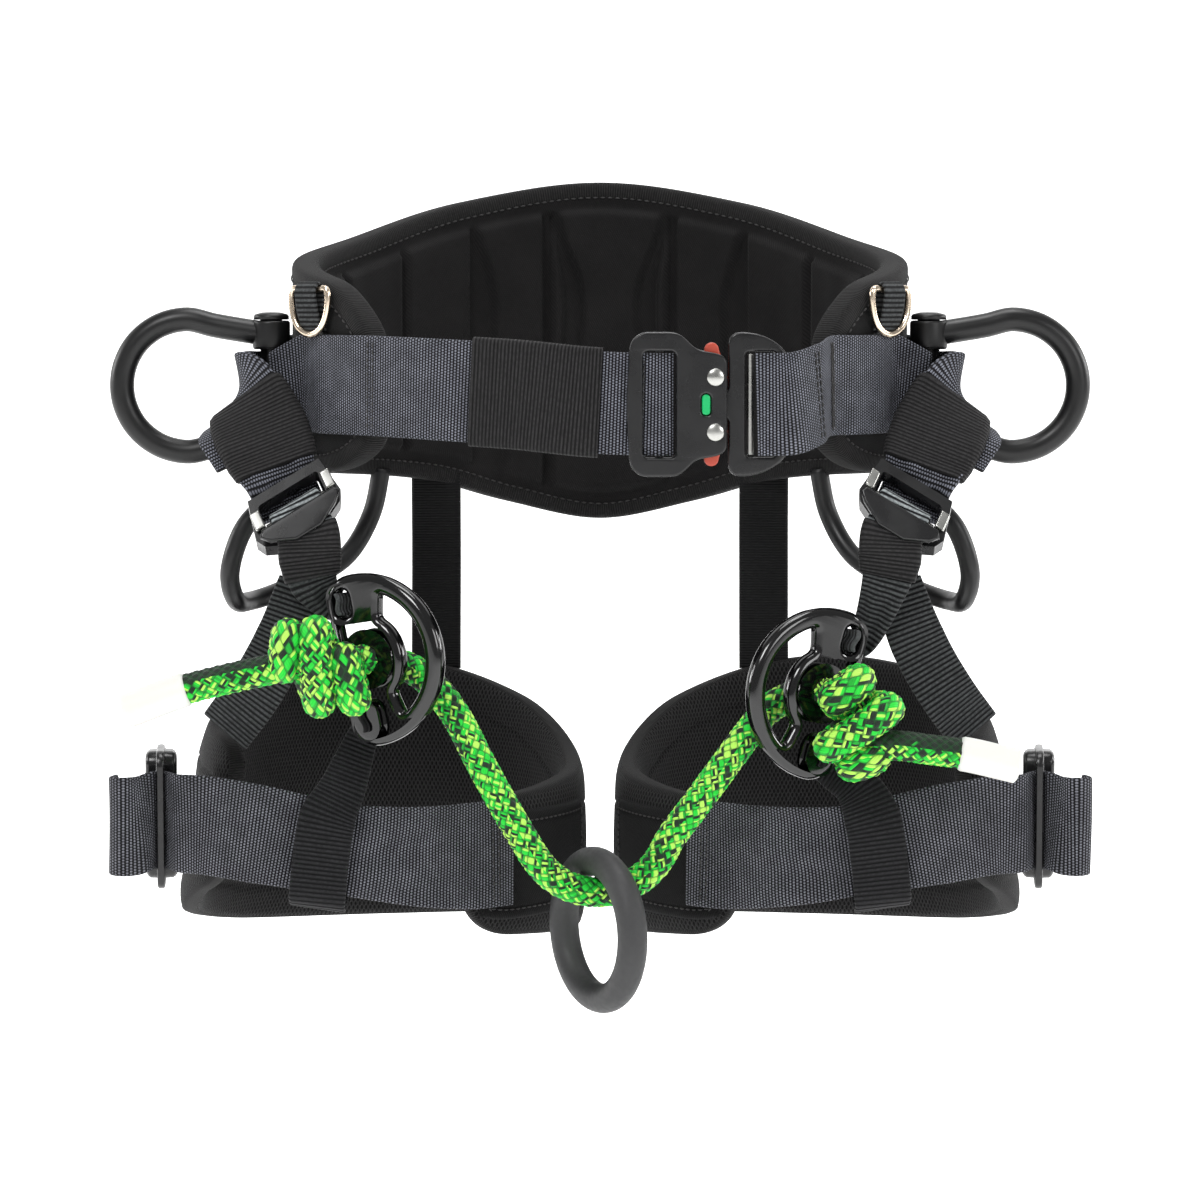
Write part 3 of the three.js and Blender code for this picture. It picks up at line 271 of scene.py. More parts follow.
def bar(name, line, radius, sides=24, closed=False, relief=None):
    """A round bar along a line. relief(turns, far) adds to its radius: turns is the share of the
    way round and far the distance along, in millimetres."""
    side, other = carried_frames(line, closed)
    far = lengths(line)
    share = np.arange(sides) / sides
    r = radius if np.ndim(radius) == 0 else np.asarray(radius)[:, None]
    r = r + (0 if relief is None else relief(share[None], far[:, None]))
    angle = 2 * np.pi * share
    grid = line[:, None] + side[:, None] * (r * np.cos(angle))[..., None] \
        + other[:, None] * (r * np.sin(angle))[..., None]
    u, v = np.meshgrid(np.arange(sides + 1) / sides, far * MM)
    if closed:
        u, v = np.vstack([u, u[:1]]), np.vstack([v, v[:1] + v[-1]])
    return grid_object(name, grid, np.stack([u, v], -1), wrap_rows=closed)


def turned(name, profile, place, sides=40):
    """Lathe work: profile rows (radius, height) spun about an axis. place(x, y, z) puts points
    whose z is the axis onto the saddle. The profile starts and ends on the axis."""
    profile = np.array(profile, float)
    angle = 2 * np.pi * np.arange(sides) / sides
    x = profile[:, :1] * np.cos(angle)
    y = profile[:, :1] * np.sin(angle)
    z = np.repeat(profile[:, 1:], sides, 1)
    return grid_object(name, place(x, y, z))


# %% [markdown]
# ## Plates with rounded edges
# Buckles and bridge plates are forged or stamped and then tumbled, so no edge is sharp. A plate is
# an outline with holes: both faces are cut out of the outline moved inwards by the rounding, and
# quarter circles join them.


# %% Plates
def loop_normals(loop):
    """Directions out of the material of a counter-clockwise loop: the mean of its two edges'."""
    edge = np.roll(loop, -1, 0) - loop
    out = unit(np.stack([edge[:, 1], -edge[:, 0]], 1))
    return unit(out + np.roll(out, 1, 0))


def clean_loop(loop, spacing=0.15):
    """Drops points that lie closer together than the spacing, and turns it counter-clockwise."""
    loop = np.asarray(loop, float)
    keep = np.linalg.norm(loop - np.roll(loop, 1, 0), axis=1) > spacing
    loop = loop[keep]
    x, y = loop.T
    area = np.sum(x * np.roll(y, -1) - np.roll(x, -1) * y)
    return loop if area > 0 else loop[::-1]


def plate(name, outline, holes, thick, rounding, place, steps=4):
    """A plate: each loop is a wall of rows that go round its edge in a quarter circle at each face,
    and the faces between the walls are filled with triangles."""
    turn = np.linspace(-np.pi / 2, np.pi / 2, 2 * steps + 1)
    inset = rounding * (1 - np.cos(turn))
    height = (thick / 2 - rounding) * np.sign(np.round(turn, 6)) + rounding * np.sin(turn)
    height[steps] = 0
    points, faces, tops, lows, start = [], [], [], [], 0
    for k, loop in enumerate([outline, *holes]):
        loop = clean_loop(loop)
        out = loop_normals(loop) * (1 if k == 0 else -1)
        count = len(loop)
        rows = loop[None] - out[None] * inset[:, None, None]
        rows = np.concatenate([rows, np.repeat(height[:, None], count, 1)[..., None]], -1)
        i, j = np.meshgrid(np.arange(len(turn) - 1), np.arange(count), indexing="ij")
        n = (j + 1) % count
        quads = np.stack([i * count + j, i * count + n, (i + 1) * count + n, (i + 1) * count + j],
                         -1)
        quads = quads.reshape(-1, 4) if k == 0 else quads.reshape(-1, 4)[:, ::-1]
        faces += (quads + start).tolist()
        lows.append((start + np.arange(count), rows[0]))
        tops.append((start + len(rows) * count - count + np.arange(count), rows[-1]))
        points.append(rows.reshape(-1, 3))
        start += len(rows) * count
    for rows, flip in ((tops, False), (lows, True)):
        index = np.concatenate([r[0] for r in rows])
        cut = tessellate_polygon([[Vector((x, y, 0)) for x, y, _ in r[1]] for r in rows])
        flat = np.concatenate([r[1] for r in rows])
        for tri in cut:
            a, b, c = (flat[t] for t in tri)
            counter = (b[0] - a[0]) * (c[1] - a[1]) - (b[1] - a[1]) * (c[0] - a[0]) > 0
            corner = [int(index[t]) for t in tri]
            faces.append(corner if counter != flip else corner[::-1])
    points = np.vstack(points)
    made = mesh_object(name, place(points[:, 0], points[:, 1], points[:, 2]), faces)
    tidy_normals(made)
    return made


def tidy_normals(made):
    """Lets large flat faces keep their own normals, so that the rounding stays in the rounding."""
    even_out = made.modifiers.new("flat faces", "WEIGHTED_NORMAL")
    even_out.keep_sharp = True


def arc(x, y, r, start, end, steps=10, ry=None):
    """Points of an arc or a part of an ellipse, in degrees."""
    a = np.radians(np.linspace(start, end, steps))
    return np.stack([x + r * np.cos(a), y + (r if ry is None else ry) * np.sin(a)], 1)


def bezier(p0, p1, p2, p3, steps=10):
    """Cubic Bezier curve."""
    t = np.linspace(0, 1, steps)[:, None]
    p0, p1, p2, p3 = (np.array(p, float) for p in (p0, p1, p2, p3))
    return (1 - t) ** 3 * p0 + 3 * (1 - t) ** 2 * t * p1 + 3 * (1 - t) * t * t * p2 + t**3 * p3


def round_rect(x, y, width, height, r, steps=6):
    """A rectangle with round corners, counter-clockwise."""
    w, h = width / 2 - r, height / 2 - r
    corners = [(w, h, 0), (-w, h, 90), (-w, -h, 180), (w, -h, 270)]
    return np.vstack([arc(x + a, y + b, r, s, s + 90, steps) for a, b, s in corners])


def circle(x, y, r, steps=32):
    return arc(x, y, r, 0, 360, steps + 1)[:-1]


# %% [markdown]
# ## Where pieces go
# Some pieces are drawn flat and then put in place. A place is a function from drawn coordinates to
# the saddle: facing the front, on a tilted basis, or mirrored for the other side.


# %% Places
def facing_front(x0, y0, z0):
    """Drawn X across and Y up become X and Z, and the drawing's Z comes out to the front."""
    return lambda x, y, z: np.stack([x0 + x, y0 - z, z0 + y], -1)


def on_basis(origin, ex, ey, ez, mirror=1):
    """Drawn axes go to three unit vectors at an origin. mirror -1 puts it on the other side."""
    def place(x, y, z):
        at = np.array(origin) + x[..., None] * ex + y[..., None] * ey + z[..., None] * ez
        return at * [mirror, 1, 1]
    return place


def both_sides(side, stations):
    """Mirrors stations (middle, across, width) that were drawn for the right side."""
    flip = np.array([side, 1, 1])
    return [(np.array(p) * flip, np.array(w) * flip, width) for p, w, width in stations]


def line_of(points, step=1.0, share=(0, 1)):
    """A smooth line through points, with even steps."""
    return even(curve_at(points, np.linspace(*share, 1500)), step)


SIDES = (("left", -1), ("right", 1))

# %% [markdown]
# ## Shader maths
# A weave is arithmetic on the cloth's own coordinates: folds of sines for the yarns, noise for
# their unevenness. Written as Python expressions such a formula stays readable, so a small class
# wraps a node socket, and each operator adds the matching Math node.


# %% Shader expressions
class Value:
    """A number that changes over a surface: the output of a node, with arithmetic."""

    def __init__(self, finish, socket):
        self.finish, self.socket = finish, socket

    def math(self, operation, *others, clamp=False):
        values = {i: x for i, x in enumerate((self, *others))}
        return self.finish.node("ShaderNodeMath", dict(operation=operation, use_clamp=clamp),
                                values)

    def __add__(self, other):
        return self.math("ADD", other)

    def __sub__(self, other):
        return self.math("SUBTRACT", other)

    def __rsub__(self, other):
        return self.finish.node("ShaderNodeMath", dict(operation="SUBTRACT"), {0: other, 1: self})

    def __mul__(self, other):
        return self.math("MULTIPLY", other)

    def __truediv__(self, other):
        return self.math("DIVIDE", other)

    def __pow__(self, other):
        return self.math("POWER", other)

    def __gt__(self, other):
        return self.math("GREATER_THAN", other)

    __radd__, __rmul__ = __add__, __mul__

    def sin(self):
        return self.math("SINE")

    def floor(self):
        return self.math("FLOOR")

    def part(self):
        return self.math("FRACT")

    def size(self):
        return self.math("ABSOLUTE")

    def clamped(self):
        return self.math("ADD", 0.0, clamp=True)

    def between(self, low, high):
        """A smooth step from 0 at low to 1 at high."""
        settings = dict(interpolation_type="SMOOTHSTEP")
        return self.finish.node("ShaderNodeMapRange", settings, {0: self, 1: low, 2: high})


class Finish:
    """One material: a Principled shader with its node tree open for expressions."""

    def __init__(self, name, color=(0.5, 0.5, 0.5), **sockets):
        self.material = bpy.data.materials.new(name)
        self.material.use_nodes = True
        self.tree = self.material.node_tree
        self.shader = self.tree.nodes["Principled BSDF"]
        self.set(Base_Color=(*color, 1), **sockets)

    def set(self, **sockets):
        for name, value in sockets.items():
            self.put(self.shader.inputs[name.replace("_", " ")], value)
        return self

    def put(self, socket, value):
        if isinstance(value, Value):
            self.tree.links.new(value.socket, socket)
        else:
            socket.default_value = value

    def node(self, kind, settings=None, inputs=None, output=0):
        """Adds a node: its settings first, then values or links for its sockets."""
        made = self.tree.nodes.new(kind)
        for key, value in (settings or {}).items():
            if key == "stops":
                ramp(made.color_ramp, value)
            else:
                setattr(made, key, value)
        for key, value in (inputs or {}).items():
            self.put(made.inputs[key], value)
        return Value(self, made.outputs[output])

    def place(self):
        return self.node("ShaderNodeTexCoord", output="Object")

    def across_and_along(self, name="cloth"):
        """The two cloth coordinates of the piece's own UV map."""
        uv = self.node("ShaderNodeUVMap", dict(uv_map=name))
        split = self.node("ShaderNodeSeparateXYZ", None, {0: uv})
        return split, Value(self, split.socket.node.outputs[1])

    def noise(self, scale, detail=2.0, at=None, rough=0.5):
        inputs = {"Vector": at or self.place(), "Scale": scale, "Detail": detail,
                  "Roughness": rough}
        return self.node("ShaderNodeTexNoise", None, inputs)

    def blend(self, factor, low, high):
        """A colour from low to high by a factor."""
        as_color = lambda c: c if isinstance(c, Value) else (*c, 1)
        return self.node("ShaderNodeMix", dict(data_type="RGBA"),
                         {0: factor, 6: as_color(low), 7: as_color(high)}, 2)

    def bump(self, height, depth, strength=1.0):
        """A Bump node whose depth is in metres, into the Normal."""
        inputs = {"Height": height, "Distance": depth, "Strength": strength}
        return self.set(Normal=self.node("ShaderNodeBump", None, inputs))

    def on(self, *objects):
        for o in objects:
            o.data.materials.clear()
            o.data.materials.append(self.material)
            if o.type == "MESH":
                o.data.polygons.foreach_set("material_index",
                                            np.zeros(len(o.data.polygons), np.int32))
        return self


def ramp(color_ramp, stops):
    while len(color_ramp.elements) < len(stops):
        color_ramp.elements.new(1)
    for element, (where, color) in zip(color_ramp.elements, stops):
        element.position, element.color = where, (*color, 1)


TURN = 2 * math.pi

# %% [markdown]
# ## Webbing
# The main webbing is woven from black yarn with a grey yarn floating over it, so that it looks
# dotted: columns of small grey beads, each column shifted by half a bead. The bead is the product
# of |sin p| along the strap and |sin q| across it, and the bump uses the same number.


# %% Dotted webbing
def dotted_webbing(name, thread=(0.23, 0.24, 0.285), ground=(0.003, 0.003, 0.004), pitch=1.45):
    """Beads of grey yarn on a black ground, pitch millimetres apart along the strap."""
    made = Finish(name, Roughness=0.72, Sheen_Weight=0.02, Specular_IOR_Level=0.15)
    across, along = made.across_and_along()
    p = along * (math.pi / (pitch * MM))
    q = across * (math.pi / (0.85 * pitch * MM))
    column = p.sin().size()
    bead = column * ((q + (p * (1 / math.pi)).floor() * (math.pi / 2)).sin().size() * 0.7 + 0.3)
    wear = made.noise(120, 3).between(0.3, 0.75)
    yarn = made.noise(2600, 1).between(0.25, 0.8)
    amount = bead.between(0.35, 0.9) * (yarn * 0.4 + 0.65) * (wear * 0.35 + 0.7)
    made.set(Base_Color=made.blend(amount.clamped(), ground, thread))
    return made.bump(bead + yarn * 0.25, 0.00045, 0.9)


grey_webbing = dotted_webbing("grey_webbing")
leg_webbing = dotted_webbing("leg_webbing", (0.2, 0.205, 0.235), pitch=1.5)

# %% [markdown]
# The riser webbing is thinner and ribbed across: each rib is a pick of thick yarn, with a painted
# highlight on its crown. Flat binding tape and elastic are the same idea with other pitches and less
# contrast.


# %% Ribbed webbing, tape and elastic
def ribbed(name, pitch, crown, ground, depth, along_ribs=True, rough=0.7, grain=0.5):
    """Ribs a pitch apart with painted highlights on their tops; along_ribs puts them one after
    another along it.
    """
    made = Finish(name, Roughness=rough, Sheen_Weight=0.02, Specular_IOR_Level=0.15)
    across, along = made.across_and_along()
    way, other = (along, across) if along_ribs else (across, along)
    rib = (way * (math.pi / (pitch * MM))).sin().size()
    yarn = (other * (math.pi / (0.55 * MM)) + (way * (1 / (pitch * MM))).floor() * 1.6).sin().size()
    uneven = made.noise(700, 2).between(0.3, 0.7)
    # Painted highlight: each rib's top is lightened from ground towards crown, mixed with random
    # unevenness and yarn grain.
    amount = rib.between(0.35, 1.0) * (uneven * 0.5 + 0.5) * (yarn * grain + (1 - grain))
    made.set(Base_Color=made.blend(amount.clamped(), ground, crown))
    return made.bump(rib + yarn * (0.3 * grain), depth, 0.9)


ribbed_webbing = ribbed("ribbed_webbing", 2.2, (0.075, 0.08, 0.082), (0.002, 0.002, 0.0025), 0.0007)
loop_webbing = ribbed("loop_webbing", 2.0, (0.022, 0.022, 0.024), (0.0015, 0.0015, 0.002), 0.0007)
flat_webbing = ribbed("flat_webbing", 1.3, (0.009, 0.009, 0.0095), (0.002, 0.002, 0.0022), 0.0003)
elastic = ribbed("elastic", 1.6, (0.03, 0.029, 0.03), (0.0045, 0.0043, 0.0045), 0.0006, grain=0.3)
binding_tape = ribbed("binding_tape", 1.1, (0.022, 0.021, 0.021), (0.005, 0.005, 0.0052), 0.0003,
                      rough=0.8)
striped_webbing = ribbed("striped_webbing", 2.3, (0.42, 0.46, 0.47), (0.002, 0.002, 0.003), 0.0008)
thread = Finish("thread", (0.035, 0.034, 0.034), Roughness=0.5, Specular_IOR_Level=0.2)
thread.bump(thread.noise(3000, 2), 0.0001)

# %% [markdown]
# ## Pad cloth
# The lining is a brushed cloth pressed onto foam, with a fine twill of dashes. The cover is a plain
# close weave. The leg pads are wrapped in spacer mesh: a lattice of small holes, painted dark as
# shade.


# %% Pad cloths
def twill(name, light, dark, pitch, depth, rough=0.85):
    """Short dashes on diagonals: the product of a fast and a slow sine on turned coordinates."""
    made = Finish(name, Roughness=rough, Sheen_Weight=0.03, Specular_IOR_Level=0.12)
    across, along = made.across_and_along()
    p = (across + along * 0.5) * (math.pi / (pitch * MM))
    q = (along - across * 0.5) * (math.pi / (0.7 * pitch * MM))
    dash = (p.sin() * q.sin()).size()
    cloudy = made.noise(38, 4).between(0.3, 0.75)
    made.set(Base_Color=made.blend((dash * 0.6 * (cloudy * 0.6 + 0.5)).clamped(), dark, light))
    return made.bump(dash + made.noise(1400, 2) * 0.5, depth, 0.7)


def spacer_mesh(name, light, dark, pitch, depth):
    """Knitted mesh: holes where two sines on a staggered lattice meet, painted dark as shade, with
    light yarn round them.
    """
    made = Finish(name, Roughness=0.75, Sheen_Weight=0.03, Specular_IOR_Level=0.12)
    across, along = made.across_and_along()
    p = (across + along * 0.58) * (math.pi / (pitch * MM))
    q = (across - along * 0.58) * (math.pi / (pitch * MM))
    hole = (p.sin() * q.sin()).size()
    yarn = made.noise(1800, 2)
    # Painted shade: the colour darkens towards the middle of each recessed hole.
    rim = hole.between(0.2, 0.65)
    made.set(Base_Color=made.blend(((1 - rim) * (yarn * 0.9 + 0.4)).clamped(), dark, light))
    return made.bump(1 - rim + yarn * 0.3, depth, 1.0)


lining_cloth = twill("lining_cloth", (0.024, 0.0225, 0.0225), (0.005, 0.0048, 0.005), 1.0, 0.00025)
cover_cloth = twill("cover_cloth", (0.016, 0.0155, 0.016), (0.004, 0.004, 0.0042), 0.7, 0.0002)
patch_cloth = twill("patch_cloth", (0.016, 0.0155, 0.016), (0.003, 0.003, 0.0032), 1.1, 0.00025)
pad_mesh = spacer_mesh("pad_mesh", (0.022, 0.0215, 0.022), (0.0008, 0.0008, 0.0008), 2.3, 0.0008)

# %% [markdown]
# ## Metal, rubber and plastic
# Anodised parts are black with a clear, tight gloss that shows at their rounded edges. A little
# noise in the roughness keeps them from looking moulded. Steel pins are bright, the bridge ring is
# a matt hard anodised grey, and the hoses are rubber with a soft shine.


# %% Hard finishes
def metal(name, color, rough, wear=0.08, metallic=0.0, grain=90, **more):
    """A hard finish whose roughness wanders, with fine pits in its normal."""
    made = Finish(name, color, Metallic=metallic, **more)
    spots = made.noise(grain, 5)
    made.set(Roughness=(spots.between(0.3, 0.7) * wear + rough).clamped())
    return made.bump(made.noise(grain * 18, 2), 0.00003, 0.25)


black_anodised = metal("black_anodised", (0.005, 0.005, 0.0055), 0.24, Specular_IOR_Level=0.45)
satin_black = metal("satin_black", (0.004, 0.004, 0.0042), 0.34, Specular_IOR_Level=0.35)
gloss_black = metal("gloss_black", (0.002, 0.002, 0.0022), 0.1, 0.05, Specular_IOR_Level=0.45,
                    Coat_Weight=0.3,
                    Coat_Roughness=0.06)
bright_steel = metal("bright_steel", (0.42, 0.42, 0.4), 0.22, 0.12, 1.0)
warm_steel = metal("warm_steel", (0.72, 0.6, 0.47), 0.16, 0.1, 1.0)
grey_anodised = metal("grey_anodised", (0.03, 0.03, 0.031), 0.5, 0.12, grain=420,
                      Specular_IOR_Level=0.4)
red_lacquer = metal("red_lacquer", (0.4, 0.05, 0.025), 0.34, 0.1)
# The lock signal carries a faint emission: a painted glow, since it is no lamp.
green_signal = Finish("green_signal", (0.0, 0.32, 0.09), Roughness=0.3,
                      Emission_Color=(0, 0.5, 0.12, 1),
                      Emission_Strength=0.15)
green_signal.bump(green_signal.noise(900, 1), 0.00002)
hose_rubber = metal("hose_rubber", (0.006, 0.006, 0.0065), 0.36, 0.14, Specular_IOR_Level=0.35)
sleeve_plastic = metal("sleeve_plastic", (0.6, 0.6, 0.57), 0.42, 0.2, grain=160,
                       Subsurface_Weight=0.05)
print("finishes:", len(bpy.data.materials))

# %% [markdown]
# ## The rope bridge
# The bridge is one rope, 13 mm thick, that runs through the ring and both plates and is stopped
# outside each plate by a wound knot. A real braid is two families of strands on crossing helices.
# With turns u round the rope and distance v along it, a = N u + v / L and b = N u - v / L count the
# strands of each family, so every whole a and b is a diamond where one strand shows. The relief
# sin(pi a) sin(pi b) pads each diamond, the colours come from the number of its strand, and the
# valleys between diamonds are darkened as painted shade.

# %% Braid
ROPE = 6.5
STRANDS = 9
LAY = 4.6  # millimetres along the rope for one diamond


def braid_relief(turns, far):
    """Each diamond of the braid is a low cushion: (|sin pi a sin pi b|)^0.55."""
    a = STRANDS * turns + far / LAY
    b = STRANDS * turns - far / LAY
    return 0.85 * np.abs(np.sin(np.pi * a) * np.sin(np.pi * b)) ** 0.55 - 0.55


def rope_finish(name, black_share, tracer=0.0):
    """Strand colours: each diamond shows two yarns, and a strand's number picks their colours. The
    tracer is the share of the way round where the strands are mostly black."""
    made = Finish(name, Roughness=0.55, Sheen_Weight=0.05, Specular_IOR_Level=0.3)
    round_it, along = made.across_and_along()
    a = round_it * float(STRANDS) + along / (LAY * MM)
    b = round_it * float(STRANDS) - along / (LAY * MM)
    whole_a, whole_b = a.floor(), b.floor()
    other = ((whole_a + whole_b) * 0.5).part() * 2.0
    strand = (whole_a / STRANDS).part() * (1 - other) + ((whole_b / STRANDS).part() + 2.0) * other
    side = a.part() * (1 - other) + b.part() * other
    yarn = (side * 3.0).floor()
    step = whole_b * (1 - other) + whole_a * other
    key = made.node("ShaderNodeCombineXYZ", None,
                    {0: strand * 7.31, 1: yarn * 1.7, 2: (step * 0.2).floor()})
    dice = made.node("ShaderNodeTexWhiteNoise", dict(noise_dimensions="3D"), {"Vector": key},
                     "Value")
    if tracer:
        dice = dice * (1 - (round_it > 1 - tracer) * 0.75)
    lime, green, deep, black = (0.42, 0.82, 0.1), (0.008, 0.56, 0.03), (0.004, 0.34, 0.02), (0.001,
                                                                                             0.006,
                                                                                             0.002)
    stops = [(0.0, black), (black_share, deep), (black_share + 0.1, green), (0.72, lime)]
    color = made.node("ShaderNodeValToRGB", dict(stops=stops), {0: dice})
    color.socket.node.color_ramp.interpolation = "CONSTANT"
    hump = ((a * math.pi).sin() * (b * math.pi).sin()).size()
    fibre = ((side * (TURN * 4.5)).sin() * 0.5 + 0.5) * 0.35 + made.noise(2400, 2) * 0.3
    # Painted shade: the colour darkens to deep green in the valleys between diamonds, mixed with the
    # real fibre lines of each yarn.
    painted_valley_shade_and_fibre = (hump.between(0.0, 0.4) * 0.72 + 0.28) * (fibre * 0.5 + 0.75)
    made.set(Base_Color=made.blend(painted_valley_shade_and_fibre.clamped(), (0.0, 0.05, 0.005), color))
    return made.bump(hump * 0.6 + fibre, 0.0006, 0.7)


rope_cover = rope_finish("rope_cover", 0.27)
tail_cover = rope_finish("tail_cover", 0.24, tracer=0.4)

# %% The span between the plates
LEFT_SPAN = [(-106, -116, -114.5), (-99.5, -110, -114), (-90, -103.5, -116), (-79, -101.5, -121.5),
             (-70, -104.5, -130),
             (-62.5, -108, -140), (-53, -111, -158), (-43.5, -112, -175.5), (-34, -112, -192)]
RIGHT_SPAN = [(31, -112, -192.5), (43.5, -112, -175.5), (56, -111, -158.5), (66, -107.5, -145.5),
              (75, -103.5, -136),
              (85, -102.5, -131), (95.5, -110, -129), (103, -116, -128.5)]
ARCH_CENTRE = (-1, -112, -184.5)
ARCH_RADIUS = 32


def arch(half=58, steps=9):
    """The bend under the ring: an arc about its centre, half degrees to each side of its foot."""
    turn = np.radians(np.linspace(-half, half, steps))
    x, y, z = ARCH_CENTRE
    return np.stack([x + ARCH_RADIUS * np.sin(turn), np.full(steps, y),
                     z - ARCH_RADIUS * np.cos(turn)], 1)


def braided(name, line, relief=braid_relief, radius=ROPE):
    return bar(name, line, radius, 54, relief=relief)


span_line = line_of(np.vstack([LEFT_SPAN, arch(), RIGHT_SPAN]), 0.8)
span = braided("rope_bridge", span_line)
rope_cover.on(span)
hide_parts("bridge_rope")
print("span of rope:", round(lengths(span_line)[-1]), "mm")

# %% [markdown]
# ## Stopper knots and tails
# Each knot is the same rope wound three times round itself, so from the front it is a row of three
# fat turns. A turn is an ellipse whose middle, half sizes and lean change slowly from one turn
# to the next. The tail comes out of the last turn and ends in a white heat-shrunk sleeve.


# %% Knots
def winding(rows, axis, before=0.5, after=0.45):
    """A helix of ellipses, from before to after extra turns. rows are (middle, long half size,
    depth half size, lean in degrees), one for each turn. A turn keeps its row in front, where the
    angle is under half a turn, and moves on to the next row behind, by a smooth step of what is
    left. The long way is Z leaned about Y where the knot's axis is x, and X leaned where it is z."""
    count = len(rows)
    turn = np.linspace(-before, count - 1 + 0.5 + after, 300 * count)
    row = np.clip(np.floor(turn) + smooth_step(0.5, 1.0, turn - np.floor(turn)), 0, count - 1)
    pick = lambda values: np.interp(row, np.arange(count), values)
    middle = np.stack([pick([r[0][k] for r in rows]) for k in range(3)], 1)
    long, deep, lean = (pick([r[k] for r in rows]) for k in (1, 2, 3))
    tilt = np.radians(lean)
    if axis == "x":
        way = np.stack([np.sin(tilt), np.zeros_like(tilt), np.cos(tilt)], 1)
    else:
        way = np.stack([np.cos(tilt), np.zeros_like(tilt), np.sin(tilt)], 1)
    depth = np.array([0, -1.0, 0])
    across, through = np.cos(TURN * turn), np.sin(TURN * turn)
    across, through = (np.sign(c) * np.abs(c) ** 0.8 for c in (across, through))
    line = middle + way * (long * across)[:, None] + depth * (deep * through)[:, None]
    for _ in range(12):
        line[1:-1] = (line[:-2] + 2 * line[1:-1] + line[2:]) / 4
    return line


KNOT_ROPE = 7.2
KNOTS = {
    "left": dict(
        rows=[((-108.2, -127.5, -121), 9.2, 6.4, -14), ((-121.6, -129.2, -115.5), 15.2, 7.0, -3),
              ((-135.0, -128.2, -108.8), 7.0, 5.6, 6)],
        axis="x",
        tail=[(-118, -124, -110), (-126, -129, -113), (-146, -130, -117.5), (-162, -130.5, -121),
              (-180, -130, -125.8),
              (-203, -129, -134.5)]),
    "right": dict(
        rows=[((106.5, -127.5, -125.5), 6.6, 5.8, 36), ((111.5, -129.5, -141.8), 15.0, 6.8, 33),
              ((113.5, -128, -156.5), 5.2, 5.6, 20)],
        axis="z",
        tail=[(103, -122, -143), (106, -127, -148), (112, -129.5, -150), (128, -130.5, -149.5),
              (140, -130.5, -151),
              (158, -130, -153.5), (179, -129, -158.5)]),
}
SLEEVE_FROM = 0.7
with_span, tails = [], []
for word, knot in KNOTS.items():
    wound = braided(f"knot_turns_{word}", even(winding(knot["rows"], knot["axis"]), 0.9),
                    radius=KNOT_ROPE)
    tail_line = line_of(knot["tail"], 0.8)
    tail = braided(f"rope_tail_{word}", tail_line)
    rope_cover.on(wound)
    tail_cover.on(tail)
    cut = int(SLEEVE_FROM * len(tail_line))
    covered = tail_line[cut:]
    beyond = covered[-1] + unit(covered[-1] - covered[-2]) * np.array([[0.8], [1.6]])
    skin = np.vstack([covered, beyond])
    radius = np.full(len(skin), ROPE + 1.0)
    radius[:3] += np.array([-0.9, -0.3, 0])
    radius[-1] -= 1.2
    sleeve = bar(f"end_sleeve_{word}", skin, radius, 48)
    sleeve_plastic.on(sleeve)
    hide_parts(f"rope_knot_{word}")
    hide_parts(f"rope_end_{word}")
    for piece in (wound, tail, sleeve):
        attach(piece, "saddle")
    with_span.append(wound)
    tails.append((tail, tail_line, sleeve))
    print(word, "tail:", round(lengths(tail_line)[-1]), "mm")

# %% The bridge ring
RING_MIDDLE = np.array((-1, -112, -233.1))
RING_RADIUS = 30
turn = np.linspace(0, TURN, 181)[:-1]
outwards = np.array([math.cos(math.radians(120)), math.sin(math.radians(120)), 0])
ring_line = RING_MIDDLE + RING_RADIUS * (np.cos(turn)[:, None] * outwards
                                         + np.sin(turn)[:, None] * np.array([0, 0, 1.0]))
bridge_ring = bar("ring_on_bridge", ring_line, ROPE, 40, closed=True)
grey_anodised.on(bridge_ring)
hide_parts("bridge_ring")
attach(bridge_ring, "bridge_ring")
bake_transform(span)
for tail, tail_line, sleeve in tails:
    tuple(tail_line[0] * MM)
    (tail_line[::4] * MM).tolist()

# %% [markdown]
# ## Padded bands
# The waist pad and both leg pads are the same kind of thing: a curved band of foam between two
# cloths, with a tape folded over its rim and sewn through. A band is known by where an angle, a
# depth and a height lie in space, and by the heights of its two long edges. Its faces are grids,
# and its rim is a closed line in the unrolled band, which the tape and its stitches follow.


